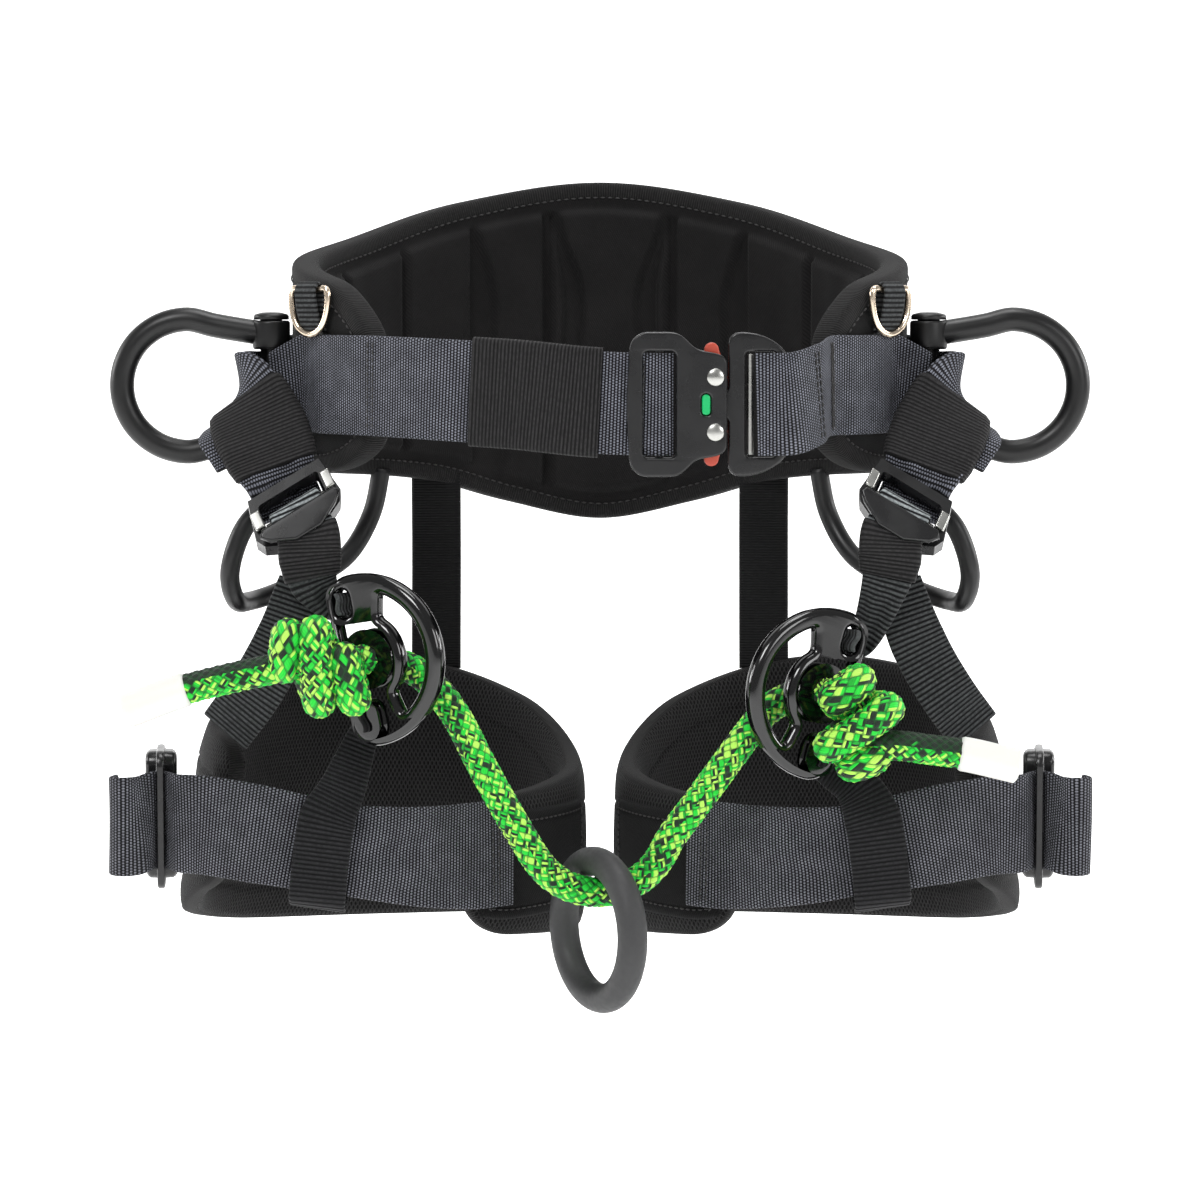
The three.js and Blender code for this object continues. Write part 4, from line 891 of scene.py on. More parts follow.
# %% A padded band
class Band:
    def __init__(self, at, angles, top, foot, deep, per_degree):
        self.at, self.angles, self.top, self.foot = at, angles, top, foot
        self.deep, self.per_degree = deep, per_degree

    def rim(self, step=2.0):
        """The closed rim in unrolled millimetres (along, up), its inward normals, evenly spaced."""
        low, high = self.angles
        share = (1 - np.cos(np.linspace(0, np.pi, 500))) / 2
        a = low + (high - low) * share
        upper = np.stack([a * self.per_degree, self.top(a)], 1)
        lower = np.stack([a * self.per_degree, self.foot(a)], 1)[::-1]
        ends = [np.linspace(upper[-1], lower[0], 12)[1:-1],
                np.linspace(lower[-1], upper[0], 12)[1:-1]]
        loop = np.vstack([upper, ends[0], lower, ends[1], upper[:1]])
        flat = even(np.column_stack([loop, np.zeros(len(loop))]), step)[:-1, :2]
        for _ in range(3):
            flat = (np.roll(flat, 1, 0) + 2 * flat + np.roll(flat, -1, 0)) / 4
        way = unit(np.roll(flat, -1, 0) - np.roll(flat, 1, 0))
        return flat, np.stack([way[:, 1], -way[:, 0]], 1)

    def on(self, flat, out):
        return self.at(flat[..., 0] / self.per_degree, out, flat[..., 1])

    def body(self, name, low_out, high_out, inner, outer, rows=300, columns=90):
        """The foam: at each angle the section runs up the inner face and down the outer one. inner
        and outer give how far those faces stand out from their own level, in millimetres."""
        a = np.linspace(*self.angles, rows)[:, None]
        share = np.linspace(0, 1, columns)[None]
        top, foot = self.top(a), self.foot(a)
        z = foot + (top - foot) * share
        a2 = np.repeat(a, columns, 1)
        ends = np.minimum(a2 - self.angles[0], self.angles[1] - a2) * self.per_degree
        rim = np.minimum(np.minimum(top - z, z - foot), ends)
        inside = self.at(a2, low_out - inner(a2, z, rim), z)
        outside = self.at(a2, high_out + outer(a2, z, rim), z)
        grid = np.concatenate([inside, outside[:, ::-1]], 1)
        flat = np.stack([a2 * self.per_degree, z], -1) * MM
        return grid_object(name, grid, np.concatenate([flat, flat[:, ::-1]], 1))

    def tape(self, name, wide, low_out, high_out, step=2.0):
        """Binding: a superellipse section that hooks over the rim, wide in the band's plane."""
        flat, inwards = self.rim(step)
        turn = TURN * np.arange(22) / 22
        power = 0.55
        q = wide / 2 - 1.0 + (wide / 2) * np.sign(np.cos(turn)) * np.abs(np.cos(turn)) ** power
        half = (high_out - low_out) / 2
        w = (low_out + high_out) / 2 + half * np.sign(np.sin(turn)) * np.abs(np.sin(turn)) ** power
        place = flat[:, None] + inwards[:, None] * q[None, :, None]
        grid = self.on(place, np.repeat(w[None], len(flat), 0))
        far = lengths(np.column_stack([flat, np.zeros(len(flat))]))
        girth = np.concatenate([[0], np.cumsum(np.hypot(np.diff(q), np.diff(w)))])
        u, v = np.meshgrid(np.append(girth, girth[-1] + 1) * MM,
                           np.append(far, far[-1] + step) * MM)
        return grid_object(name, grid, np.stack([u, v], -1), wrap_rows=True)

    def seam(self, name, inset, out, facing, pitch=3.6, long=2.5, thick=0.42):
        """Stitches that follow the rim, inset from it, on the face at out. facing is -1 or 1."""
        flat, inwards = self.rim(1.0)
        line = self.on(flat + inwards * inset, np.full(len(flat), float(out)))
        above = self.on(flat + inwards * inset, np.full(len(flat), out + facing * 1.0))
        return stitches(name, np.vstack([line, line[:1]]),
                        np.vstack([above - line, (above - line)[:1]]), pitch, long, thick)


def stitches(name, line, normals, pitch=3.6, long=2.5, thick=0.42):
    """A row of stitches: each one is a small spindle, r = thick sqrt(1 - x^2), that dips at both
    ends, repeated at an even pitch along the line."""
    far = lengths(line)
    at = np.arange(pitch / 2, far[-1], pitch)
    pick = lambda rows: np.stack([np.interp(at, far, rows[:, k]) for k in range(3)], 1)
    middle, way = pick(line), unit(pick(np.gradient(line, axis=0)))
    out = unit(pick(normals))
    side = unit(np.cross(way, out))
    x = np.linspace(-0.97, 0.97, 6)
    r = thick * np.sqrt(1 - x**2)
    angle = TURN * np.arange(6) / 6
    local = [x[:, None] * long / 2 + 0 * angle, r[:, None] * np.cos(angle),
             r[:, None] * np.sin(angle) + thick * (0.45 - 0.6 * x[:, None] ** 2)]
    axes = (way, side, out)
    grid = middle[:, None, None] + sum(l[None, ..., None] * e[:, None, None] for l,
                                       e in zip(local, axes))
    count, sides = len(x), len(angle)
    i, j = np.meshgrid(np.arange(count - 1), np.arange(sides), indexing="ij")
    quads = np.stack([i * sides + j, (i + 1) * sides + j, (i + 1) * sides + (j + 1) % sides,
                      i * sides + (j + 1) % sides], -1)
    quads = quads.reshape(-1, 4)
    caps = np.array([list(range(sides)), list(range((count - 1) * sides, count * sides))[::-1]])
    base = (np.arange(len(middle)) * count * sides)[:, None, None]
    faces = (quads[None] + base).reshape(-1, 4).tolist() + (caps[None]
                                                            + base).reshape(-1, sides).tolist()
    made = mesh_object(name, grid.reshape(-1, 3), faces)
    thread.on(made)
    return made


# %% [markdown]
# ## The waist pad
# The lining is foam that was pressed in a hot mould: long raised panels with slim leaf-shaped
# hollows between them, and a narrow channel on either side of the spine. All of that is real
# relief here, made as a height over the unrolled pad. The cover on the outside is nearly plain.

# %% Waist pad
WAIST = (129, 105)
FOAM, SHELL = 8.0, 4.4
WING = 135
WAIST_PER_DEGREE = 2.04  # millimetres round the lining
SPINE_AT = 2.2  # degrees
WAIST_TOP = [(0, 98), (30, 88), (60, 70), (90, 60), (120, 50), (WING, 42)]
WAIST_FOOT = [(0, -67), (20, -58), (38, -47), (70, -41), (100, -38), (WING, -34)]


def waist_at(angle, out, z):
    """A point of an ellipse about the waist: degrees from the middle of the back, and how far out."""
    t = np.radians(angle)
    return np.stack(np.broadcast_arrays((WAIST[0] + out) * np.sin(t), (WAIST[1] + out) * np.cos(t),
                                        z), -1)


def wing_drop(angle):
    """How far the corners of the wings are rounded off: a quarter of a circle over 16 degrees."""
    past = np.clip((np.abs(angle) - (WING - 17)) / 16, 0, 1)
    return 22 * (1 - np.sqrt(1 - past**2))


waist = Band(waist_at, (-WING + 1, WING - 1),
             lambda a: eased(WAIST_TOP, np.abs(a)) - 1 - wing_drop(a),
             lambda a: eased(WAIST_FOOT, np.abs(a)) + 1 + 0.8 * wing_drop(a), FOAM + SHELL,
             WAIST_PER_DEGREE)

# Half outlines of the hollows: distance from the spine at some heights, nearer and further edge.
INNER_LEAF = ([(-16, 22.2), (0, 16.7), (42, 12), (84, 23)],
              [(-16, 22.4), (0, 22.8), (42, 20.8), (84, 26.5)])
OUTER_LEAF = ([(-46, 56), (-41, 49), (-28, 46), (0, 54), (42, 53), (84, 62.5)],
              [(-46, 57), (-40, 64), (84, 65)])


def leaf(x, z, rows, soft=1.4):
    """1 inside a leaf, falling to 0 over a soft edge."""
    near, far = eased(rows[0], z), eased(rows[1], z)
    ends = smooth_step(rows[0][0][0] - 1, rows[0][0][0] + 2, z) * smooth_step(rows[0][-1][0] + 1,
                                                                              rows[0][-1][0] - 2, z)
    return smooth_step(near - soft, near + soft, x) * smooth_step(far + soft, far - soft, x) * ends


def channel(x, at, half, soft=1.6):
    return smooth_step(half + soft, half, np.abs(x - at))


def lining_relief(angle, z, rim):
    """Panels stand 3 mm up inside the rim, and leaves and channels are pressed into them."""
    x = np.abs((angle - SPINE_AT) * WAIST_PER_DEGREE)
    panel = smooth_step(10.5, 15, rim)
    pressed = np.maximum(leaf(x, z, INNER_LEAF), leaf(x, z, OUTER_LEAF))
    grooves = 1.35 * channel(x, 28, 1.8)
    for at in (102, 148, 196, 240):
        grooves = np.maximum(grooves, channel(x, at, 1.0))
    crown = 0.9 * np.cos(np.clip(x / 36, 0, 1) * np.pi / 2) + 0.5 * np.sin(x / 7.0) ** 2
    height = panel * (3.2 + crown - 4.6 * pressed - 4.0 * grooves)
    return height - 1.2 * (1 - smooth_step(0, 8, rim))


def cover_relief(angle, z, rim):
    """The cover swells a little between its rim and the belt, with two long seams."""
    x = angle * WAIST_PER_DEGREE
    swell = 0.9 * smooth_step(4, 14, rim) * (0.5 + 0.5 * np.sin(x / 19 + z / 31))
    seams = channel(z, 36, 0.5, 1.4) + channel(z, -31, 0.5, 1.4)
    return 0.2 + swell * 0.5 - 0.9 * seams * smooth_step(6, 10,
                                                         rim) - 1.0 * (1 - smooth_step(0, 8, rim))


lining = waist.body("waist_lining", 0, FOAM + 0.2, lining_relief, lambda a, z, r: 0 * z, 420, 118)
cover = waist.body("waist_cover", FOAM + 0.3, FOAM + SHELL, lambda a, z, r: 0 * z, cover_relief,
                   300, 70)
waist_tape = waist.tape("waist_binding", 9.5, -0.3, FOAM + SHELL + 0.5)
lining_cloth.on(lining)
cover_cloth.on(cover)
binding_tape.on(waist_tape)
seams = [waist.seam("waist_seam_inside", 6.6, -0.35, -1),
         waist.seam("waist_seam_outside", 6.6, FOAM + SHELL + 0.5, 1)]
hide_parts("waist_foam")
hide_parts("waist_shell")
for piece in (lining, cover, waist_tape, *seams):
    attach(piece, "saddle")
print("waist pad:", len(lining.data.polygons), "faces")

# %% [markdown]
# ## The waist belt
# One belt runs round the back from bolt to bolt, and two shorter ones come forward to the halves of
# the buckle. They are the widest webbing of the saddle, 44 mm, and stand on the pad by their own
# stiffness, with barely a wave in them.

# %% Belts
WEB, NARROW, THICK = 44, 25, 2.2
LAY_ON = 0.9
BOLT = (149, -32)
BOLT_R = 5.0
EYES = 2.5
RING_TALL, EYE_TALL = 59, 13
EYE_ROOM = RING_TALL - 2 * EYE_TALL - 0.8
UP = (0, 0, 1)
PAD_OUT = FOAM + SHELL
BELT_OUT = PAD_OUT + LAY_ON + THICK / 2
BUCKLE = (33.5, -120.5, -3)


def waist_point(angle, out, z):
    return tuple(waist_at(float(angle), out, float(z)))


def soft_wave(size, long=37.0, lean=0.06):
    """A slow wave in the cloth: a sine along it that leans across it."""
    return lambda s, a: size * np.sin(s / long * TURN + a * lean) * np.cos(a * 0.03 + s * 0.011)


rear = [(waist_point(a, BELT_OUT + (1.4 if abs(a) > 90 else 0), 3), UP, WEB)
        for a in np.arange(-93, 93.1, 15.5)]
rear_ends = [((s * (BOLT[0] + 0.5), BOLT[1] + BOLT_R + 6.5, EYES), UP,
              EYE_ROOM - 2) for s in (-1, 1)]
rear_belt = ribbon("belt_round_back", [rear_ends[0], *rear, rear_ends[1]], THICK,
                   wave=soft_wave(0.12))


def belt_wing(side):
    """The stations of a front belt from its bolt to the end of the wing."""
    first = ((side * (BOLT[0] - 1), BOLT[1] - BOLT_R - 6, EYES), UP, EYE_ROOM - 2)
    return [first] + [(waist_point(side * a, BELT_OUT + 1.2, 4), UP, WEB) for a in (113, 121, 129,
                                                                                    WING)]


BAR = (BUCKLE[0] - 8, BUCKLE[1] + 3.5 - 1.9 - 0.3)
web_y = BAR[1] - 1.9 - 0.4 - THICK / 2
left_stations = [*belt_wing(-1), ((-72, -107, 3), UP, WEB), ((-36, -116.5, 1), UP, WEB),
                 ((-4, web_y, -2), UP, WEB),
                 ((BAR[0] - 2, web_y, -3), UP, WEB), ((BAR[0] + 6, web_y, -3), UP, WEB)]
left_belt = ribbon("belt_to_buckle", left_stations, THICK, wave=soft_wave(0.25))
TONGUE_X = 69
front_y = BUCKLE[1] - 2.3 - 0.4 - THICK / 2
right_stations = [((TONGUE_X - 2, front_y, -3), UP, WEB), ((TONGUE_X + 14, front_y, -2.5), UP, WEB),
                  ((TONGUE_X + 26, -109.5, 1), UP, WEB), *belt_wing(1)[::-1]]
right_belt = ribbon("belt_to_tongue", right_stations, THICK, wave=soft_wave(0.2))
grey_webbing.on(rear_belt, left_belt, right_belt)
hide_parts("rear_belt")
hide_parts("belt_left")
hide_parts("belt_right")
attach(rear_belt, "saddle")
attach(left_belt, "saddle")
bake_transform(right_belt)

# %% [markdown]
# Loops of webbing hold the rear belt to the pad, and an elastic keeper holds the spare end of the
# front belt. Where webbing is folded back it is sewn through with a zigzag and straight rows.


# %% Keepers, belt loops and sewing on the belts
def sleeve_on(name, stations, thick, start, end, wall, material=elastic, extra=0.6):
    """A closed sleeve round a stretch of strap: a thicker, wider strap with its own fine ribs."""
    made = ribbon(name, stations, thick, 0.5, start, end, grow=wall + 0.55,
                  wave=lambda s, a: extra * 0.25 * np.sin(s * TURN / 1.35) * 0.4)
    material.on(made)
    return made


def sewn_across(name, stations, thick, share, zigzag=0.0, rows=1, lift=0.25):
    """Rows of stitches across a strap at a share of its stations, on its front face."""
    middle, wide, normal, half = strap_frame(stations, np.linspace(0, 1, 1201))
    k = int(share * 1200)
    way = unit(middle[k + 1] - middle[k - 1])
    a = np.linspace(-1, 1, 41) * (half[k] - 3)
    lines = []
    for row in range(rows):
        zig = zigzag * (np.arange(41) % 2 - 0.5) + row * 3.0
        lines.append(middle[k] + wide[k] * a[:, None] + way * zig[:, None]
                     + front(normal[k]) * (thick / 2 + lift))
    return [stitches(f"{name}_{i}", line, np.repeat(front(normal[k])[None], 41, 0), 3.2, 2.6,
                     0.4) for i, line in enumerate(lines)]


def front(normal):
    """The normal turned towards the front or outwards, away from the middle of the saddle."""
    return normal if normal[1] < 0 else -normal


keeper = sleeve_on("belt_keeper_elastic", left_stations, THICK, 0.607, 0.793, 1.2)
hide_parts("belt_keeper")
belt_sewing = [keeper, *sewn_across("fold_seam_left", left_stations, THICK, 0.862, 2.2, 1),
               *sewn_across("fold_seam_left_end", left_stations, THICK, 0.45, 0, 2)]
for k, angle in enumerate((-62, -24, 24, 62)):
    out = BELT_OUT + THICK / 2 + 1.1
    level = tuple(waist_at(angle + 90.0, 0.0, 0.0))
    half = [(PAD_OUT + 0.6, WEB / 2 + 7), (out - 0.6, WEB / 2 + 1.4)]
    path = [*half, (out, 0), *((far, -up) for far, up in half[::-1])]
    loop = [(waist_point(angle, far, 3 + up), level, 20) for far, up in path]
    made = ribbon(f"belt_loop_{k}", loop, 1.4, 1.0)
    loop_webbing.on(made)
    belt_sewing.append(made)
for piece in belt_sewing:
    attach(piece, "saddle")
right_sewing = []
for k, share in enumerate((0.262, 0.4)):
    right_sewing += sewn_across(f"fold_seam_right_{k}", right_stations, THICK, share,
                                2.0 * (k == 1), 2)
for piece in right_sewing:
    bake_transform(piece)

# %% [markdown]
# ## The waist buckle
# The quick buckle is a sandwich: two stamped plates with levers between them on two rivets. The
# male half is one plate with a slot for its belt. Outlines are drawn from lines, arcs and Bezier
# curves, and the plate helper gives them their tumbled edges.

# %% Waist buckle
TALL, BROAD, PLATE, INSIDE = 62, 42, 3, 7
RIVET = (16, 11.8, 2.9)


def buckle_outline():
    """Tall on the belt's side and necked in towards the tongue, mirrored about its middle."""
    left, right, tall, r = -BROAD / 2, BROAD / 2, TALL / 2, 8
    neck = tall * 0.66
    half = np.vstack([bezier((right, 0), (right, 6), (right, 10), (right, neck - 4), 6),
                      bezier((right, neck - 4), (right, neck), (right - 2, tall - 9),
                             (11, tall - 8), 12),
                      bezier((11, tall - 8), (4, tall - 7), (4, tall), (-4, tall), 14),
                      arc(left + r, tall - r, r, 90, 180, 10), [[left - 1.2, 4.0]]])
    return np.vstack([half, (half * [1, -1])[::-1]])


rivet_holes = [circle(RIVET[0], up * RIVET[1], RIVET[2] + 0.25) for up in (1, -1)]
window = round_rect(BAR[0] - BUCKLE[0], 0, 14.5, WEB + 2, 2.5)
out_y = INSIDE / 2 + PLATE / 2
front_holes = [window, *rivet_holes, round_rect(12, 0, 4.4, 9.6, 2.1)]
front_plate = plate("buckle_front", buckle_outline(), front_holes, PLATE, 0.9,
                    facing_front(BUCKLE[0], BUCKLE[1] - out_y, BUCKLE[2]))
rear_plate = plate("buckle_rear", buckle_outline(), [window, *rivet_holes], PLATE, 0.9,
                   facing_front(BUCKLE[0], BUCKLE[1] + out_y, BUCKLE[2]))

TONGUE_THICK = 4.6
tongue_half = RIVET[1] - RIVET[2] - 2.4 - 0.5


def tongue_outline():
    tip, left, tall = BUCKLE[0] + 1 - TONGUE_X, -13, TALL / 2
    half = np.vstack([[[tip, 0], [tip, tongue_half - 1], [tip + 1, tongue_half],
                       [left - 1.5, tongue_half], [left - 1, tongue_half + 1.5],
                      [left - 1, tall - 5]], arc(left + 4, tall - 5, 5, 180, 90, 6),
                      bezier((left + 5, tall), (2, tall), (12, tall - 6), (13, tall - 14), 14),
                      [[13, 0]]])
    return np.vstack([half, (half * [1, -1])[::-1]])


tongue = plate("buckle_tongue_plate", tongue_outline(), [round_rect(0, 0, 13, WEB + 1, 1.6)],
               TONGUE_THICK, 1.1,
               facing_front(TONGUE_X, BUCKLE[1], BUCKLE[2]))
black_anodised.on(front_plate, rear_plate, tongue)
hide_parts("buckle_front_plate")
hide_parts("buckle_rear_plate")
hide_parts("buckle_tongue")
for piece in (front_plate, rear_plate):
    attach(piece, "saddle")
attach(tongue, "buckle_tongue")

rivet_profile = [(0.02, -7.5), (1.2, -7.45), (2.4, -7.2), (3.4, -6.85), (3.8, -6.6), (3.8, -6.5),
                 (2.9, -6.45), (2.9, 6.45),
                 (3.8, 6.5), (3.8, 6.6), (3.4, 6.85), (2.4, 7.2), (1.2, 7.45), (0.02, 7.5)]
for word, up in (("upper", 1), ("lower", -1)):
    rivet = turned(f"rivet_{word}_turned", rivet_profile,
                   facing_front(BUCKLE[0] + RIVET[0], BUCKLE[1], BUCKLE[2] + up * RIVET[1]), 28)
    bright_steel.on(rivet)
    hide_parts(f"rivet_{word}")
    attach(rivet, "saddle")
    tip = TALL / 2 - RIVET[1] - 4.6
    root = RIVET[2] + 2.4
    shape = np.vstack([arc(0, 0, root, 180, 360, 12), [[1.6, tip - 3]],
                       arc(-1.6, tip - 3, 3.2, 0, 180, 12)]) * [1, up]
    lever = plate(f"lever_{word}_arm", shape, [circle(0, 0, RIVET[2] + 0.3)], 4.6, 0.8,
                  facing_front(BUCKLE[0] + RIVET[0], BUCKLE[1], BUCKLE[2] + up * RIVET[1]))
    red_lacquer.on(lever)
    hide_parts(f"lever_{word}")
    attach(lever, f"lever_{word}")

# %% [markdown]
# ## CAD pieces that only need softer edges
# Where the CAD solid already has the right shape, a copy of it is merged, its flat faces are joined
# up again, and a bevel rounds its edges, which is what catches the light on a real machined part.


# %% Softened copies
def softened(node, name, width, finish, body, segments=3, angle=28):
    """A copy of a CAD node with merged corners, dissolved flats and rounded edges."""
    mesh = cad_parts[node].data.copy()
    mesh.name = name
    work = bmesh.new()
    work.from_mesh(mesh)
    bmesh.ops.remove_doubles(work, verts=work.verts, dist=0.00002)
    bmesh.ops.dissolve_limit(work, angle_limit=math.radians(1.5), verts=work.verts,
                             edges=work.edges)
    work.to_mesh(mesh)
    work.free()
    made = bpy.data.objects.new(name, mesh)
    bpy.context.scene.collection.objects.link(made)
    mesh.polygons.foreach_set("use_smooth", np.ones(len(mesh.polygons), bool))
    bevel = made.modifiers.new("edges", "BEVEL")
    bevel.width, bevel.segments, bevel.limit_method = width * MM, segments, "ANGLE"
    bevel.angle_limit = math.radians(angle)
    bevel.use_clamp_overlap = True
    tidy_normals(made)
    finish.on(made)
    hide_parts(node)
    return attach(made, body)


softened("buckle_signal", "lock_signal", 0.5, green_signal, "saddle")
softened("buckle_belt_bar", "belt_bar", 0.3, black_anodised, "saddle")
softened("tongue_belt_pin", "tongue_pin", 0.2, bright_steel, "buckle_tongue")

# %% [markdown]
# ## Side rings
# A side ring is one forging: a bow of 11 mm bar that ends in two eyes, hung on a bolt through the
# end loops of the belts. The bow is a round bar that runs into the eyes, the eyes are lathe work
# with rounded rims, and the bolt has a domed head.

# %% Side rings and bolts
EYE_Z = (RING_TALL - EYE_TALL) / 2
BOW_RADIUS, BOW_OUT, BOW_BAR = 30, 38, 5.5


def upright_at(x0, y0, z0):
    return lambda x, y, z: np.stack([x0 + x, y0 + y, z0 + z], -1)


for word, side in SIDES:
    bow_angles = np.radians(115 - 230 * np.arange(10) / 9)
    bow = [(side * BOLT[0], BOLT[1], EYES + EYE_Z)]
    bow += [(side * (BOLT[0] + BOW_OUT + BOW_RADIUS * math.cos(a)), BOLT[1],
             EYES + BOW_RADIUS * math.sin(a)) for a in bow_angles]
    bow.append((side * BOLT[0], BOLT[1], EYES - EYE_Z))
    ring = bar(f"side_ring_{word}_bow", line_of(bow, 1.6), BOW_BAR, 32)
    parts = [ring]
    for up in (1, -1):
        profile = [(5.15, -6.5), (7.2, -6.5), *arc(7.2, -5.2, 1.3, -90, 0, 5)[1:],
                   *arc(7.2, 5.2, 1.3, 0, 90, 5), (5.15, 6.5)]
        angle = TURN * np.arange(36) / 36
        p = np.array(profile)
        grid = upright_at(side * BOLT[0], BOLT[1], EYES + up * EYE_Z)(p[:, :1] * np.cos(angle),
                                                                      p[:, :1] * np.sin(angle),
                                                                    np.repeat(p[:, 1:], 36, 1))
        parts.append(grid_object(f"side_ring_{word}_eye_{'upper' if up > 0 else 'lower'}", grid,
                                 wrap_rows=True))
    satin_black.on(*parts)
    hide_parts(f"side_ring_{word}")
    for piece in parts:
        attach(piece, f"side_ring_{word}")
    half = RING_TALL / 2 + 0.4
    bolt_profile = [(0.02, -half - 3.5), (5.4, -half - 3.5), (6.6, -half - 3), (7, -half - 2.3),
                    (7, -half), (5, -half),
                    (5, half), (8, half), (8, half + 1.6), (7.4, half + 2.4), (4, half + 3.3),
                    (2.2, half + 3.4),
                    (2.0, half + 2.0), (0.02, half + 2.0)]
    bolt = turned(f"side_bolt_{word}_turned", bolt_profile,
                  upright_at(side * BOLT[0], BOLT[1], EYES), 32)
    satin_black.on(bolt)
    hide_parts(f"side_bolt_{word}")
    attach(bolt, "saddle")

# %% [markdown]
# ## Small rings on the wings
# A wire ring with one straight side hangs in a fold of ribbed webbing above the belt. The wire is a
# closed round bar; the fold goes over the straight side and runs down behind the belt.

# %% Small rings
for word, side in SIDES:
    at = waist_at(side * 119.0, PAD_OUT + 6.5, 46.0)
    face = math.radians(side * 38)
    ex, ey = np.array([math.cos(face), math.sin(face), 0]), np.array([-math.sin(face),
                                                                      math.cos(face), 0])
    w, h = 10.0, 19.0
    hoop = np.array([(-w, 0), (-w * 0.5, 0.15), (w * 0.5, 0.15), (w, 0), (w, -h * 0.55),
                     (w * 0.6, -h * 0.92), (0, -h * 1.05),
                     (-w * 0.6, -h * 0.92), (-w, -h * 0.55)])
    wrapped = np.vstack([hoop[-2:], hoop, hoop[:3]])
    full = curve_at(np.column_stack([wrapped, np.zeros(len(wrapped))]), np.linspace(0, 1, 1400))
    first, last = int(1400 * 2 / 13), int(1400 * 11 / 13)
    flat = even(full[first:last], 0.8)[:-1]
    line = at + flat[:, :1] * ex + flat[:, 1:2] * np.array(UP)
    ring = bar(f"small_ring_{word}_wire", line, 1.5, 16, closed=True)
    warm_steel.on(ring)
    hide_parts(f"small_ring_{word}")
    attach(ring, f"small_ring_{word}")
    inward = ey * (1 if np.dot(ey, -at) > 0 else -1)
    drops = [(4.5, -21), (3.0, -9), (2.75, 0), (0, 2.85), (-2.75, 0), (-1.9, -7), (0.4, -15),
             (2.4, -21)]
    fold = [(at + inward * far + np.array([0, 0, up]), ex, 12.4) for far, up in drops]
    tab = ribbon(f"small_ring_tab_{word}_fold", fold, 1.3, 0.5)
    ribbed_webbing.on(tab)
    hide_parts(f"small_ring_tab_{word}")
    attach(tab, "saddle")

# %% [markdown]
# ## Leg suspension and adjusters
# From each bolt two layers of the main webbing run down to a steel-barred adjuster, gathered by an
# elastic keeper. The narrower ribbed strap of the leg loops is threaded over the adjuster's bar.

# %% Suspension
ADJUSTER = np.array((135.0, -79.0, -51.0))
DOWN = unit(np.array((-0.41, -0.35, -0.845)))
BAR_WAY = unit(np.array((-0.82, 0.25, 0.5)))
FACE = unit(np.cross(BAR_WAY, DOWN))
SUSPENSION = 4.6
ADJUSTER_TOP = 13
end_point = ADJUSTER + DOWN * (-ADJUSTER_TOP - 3.5)
wrap = BOLT_R + 0.4 + SUSPENSION / 2 + 1
suspension_rows = [
    ((BOLT[0] - 3, BOLT[1] + wrap, EYES), UP, EYE_ROOM - 1.2),
    ((BOLT[0] + wrap - 2, BOLT[1] + 5, EYES), UP, EYE_ROOM - 1.2),
    ((BOLT[0] + wrap + 2, BOLT[1] - 8, EYES), (0.2, -0.1, 0.97), EYE_ROOM - 1.2),
    ((159, -55, -1), (-0.5, 0.05, 0.8), 36),
    ((151, -65.5, -17), tuple(BAR_WAY), WEB - 4),
    (tuple(end_point + (4, 3.5, 9)), tuple(BAR_WAY), WEB - 6),
    (tuple(end_point - FACE * 1.0), tuple(BAR_WAY), WEB - 12),
    *((tuple(ADJUSTER - DOWN * up + FACE * out), tuple(BAR_WAY), WEB - 14) for up,
      out in ((13.2, -7.0), (8, -8.6), (2.5, -8.6))),
]
LIP = [(-18.5, -4), (-20.5, -7), (-17, -11), (-6, -16.5), (7, -16.5), (17, -11), (20.5, -7),
       (18.5, -4)]
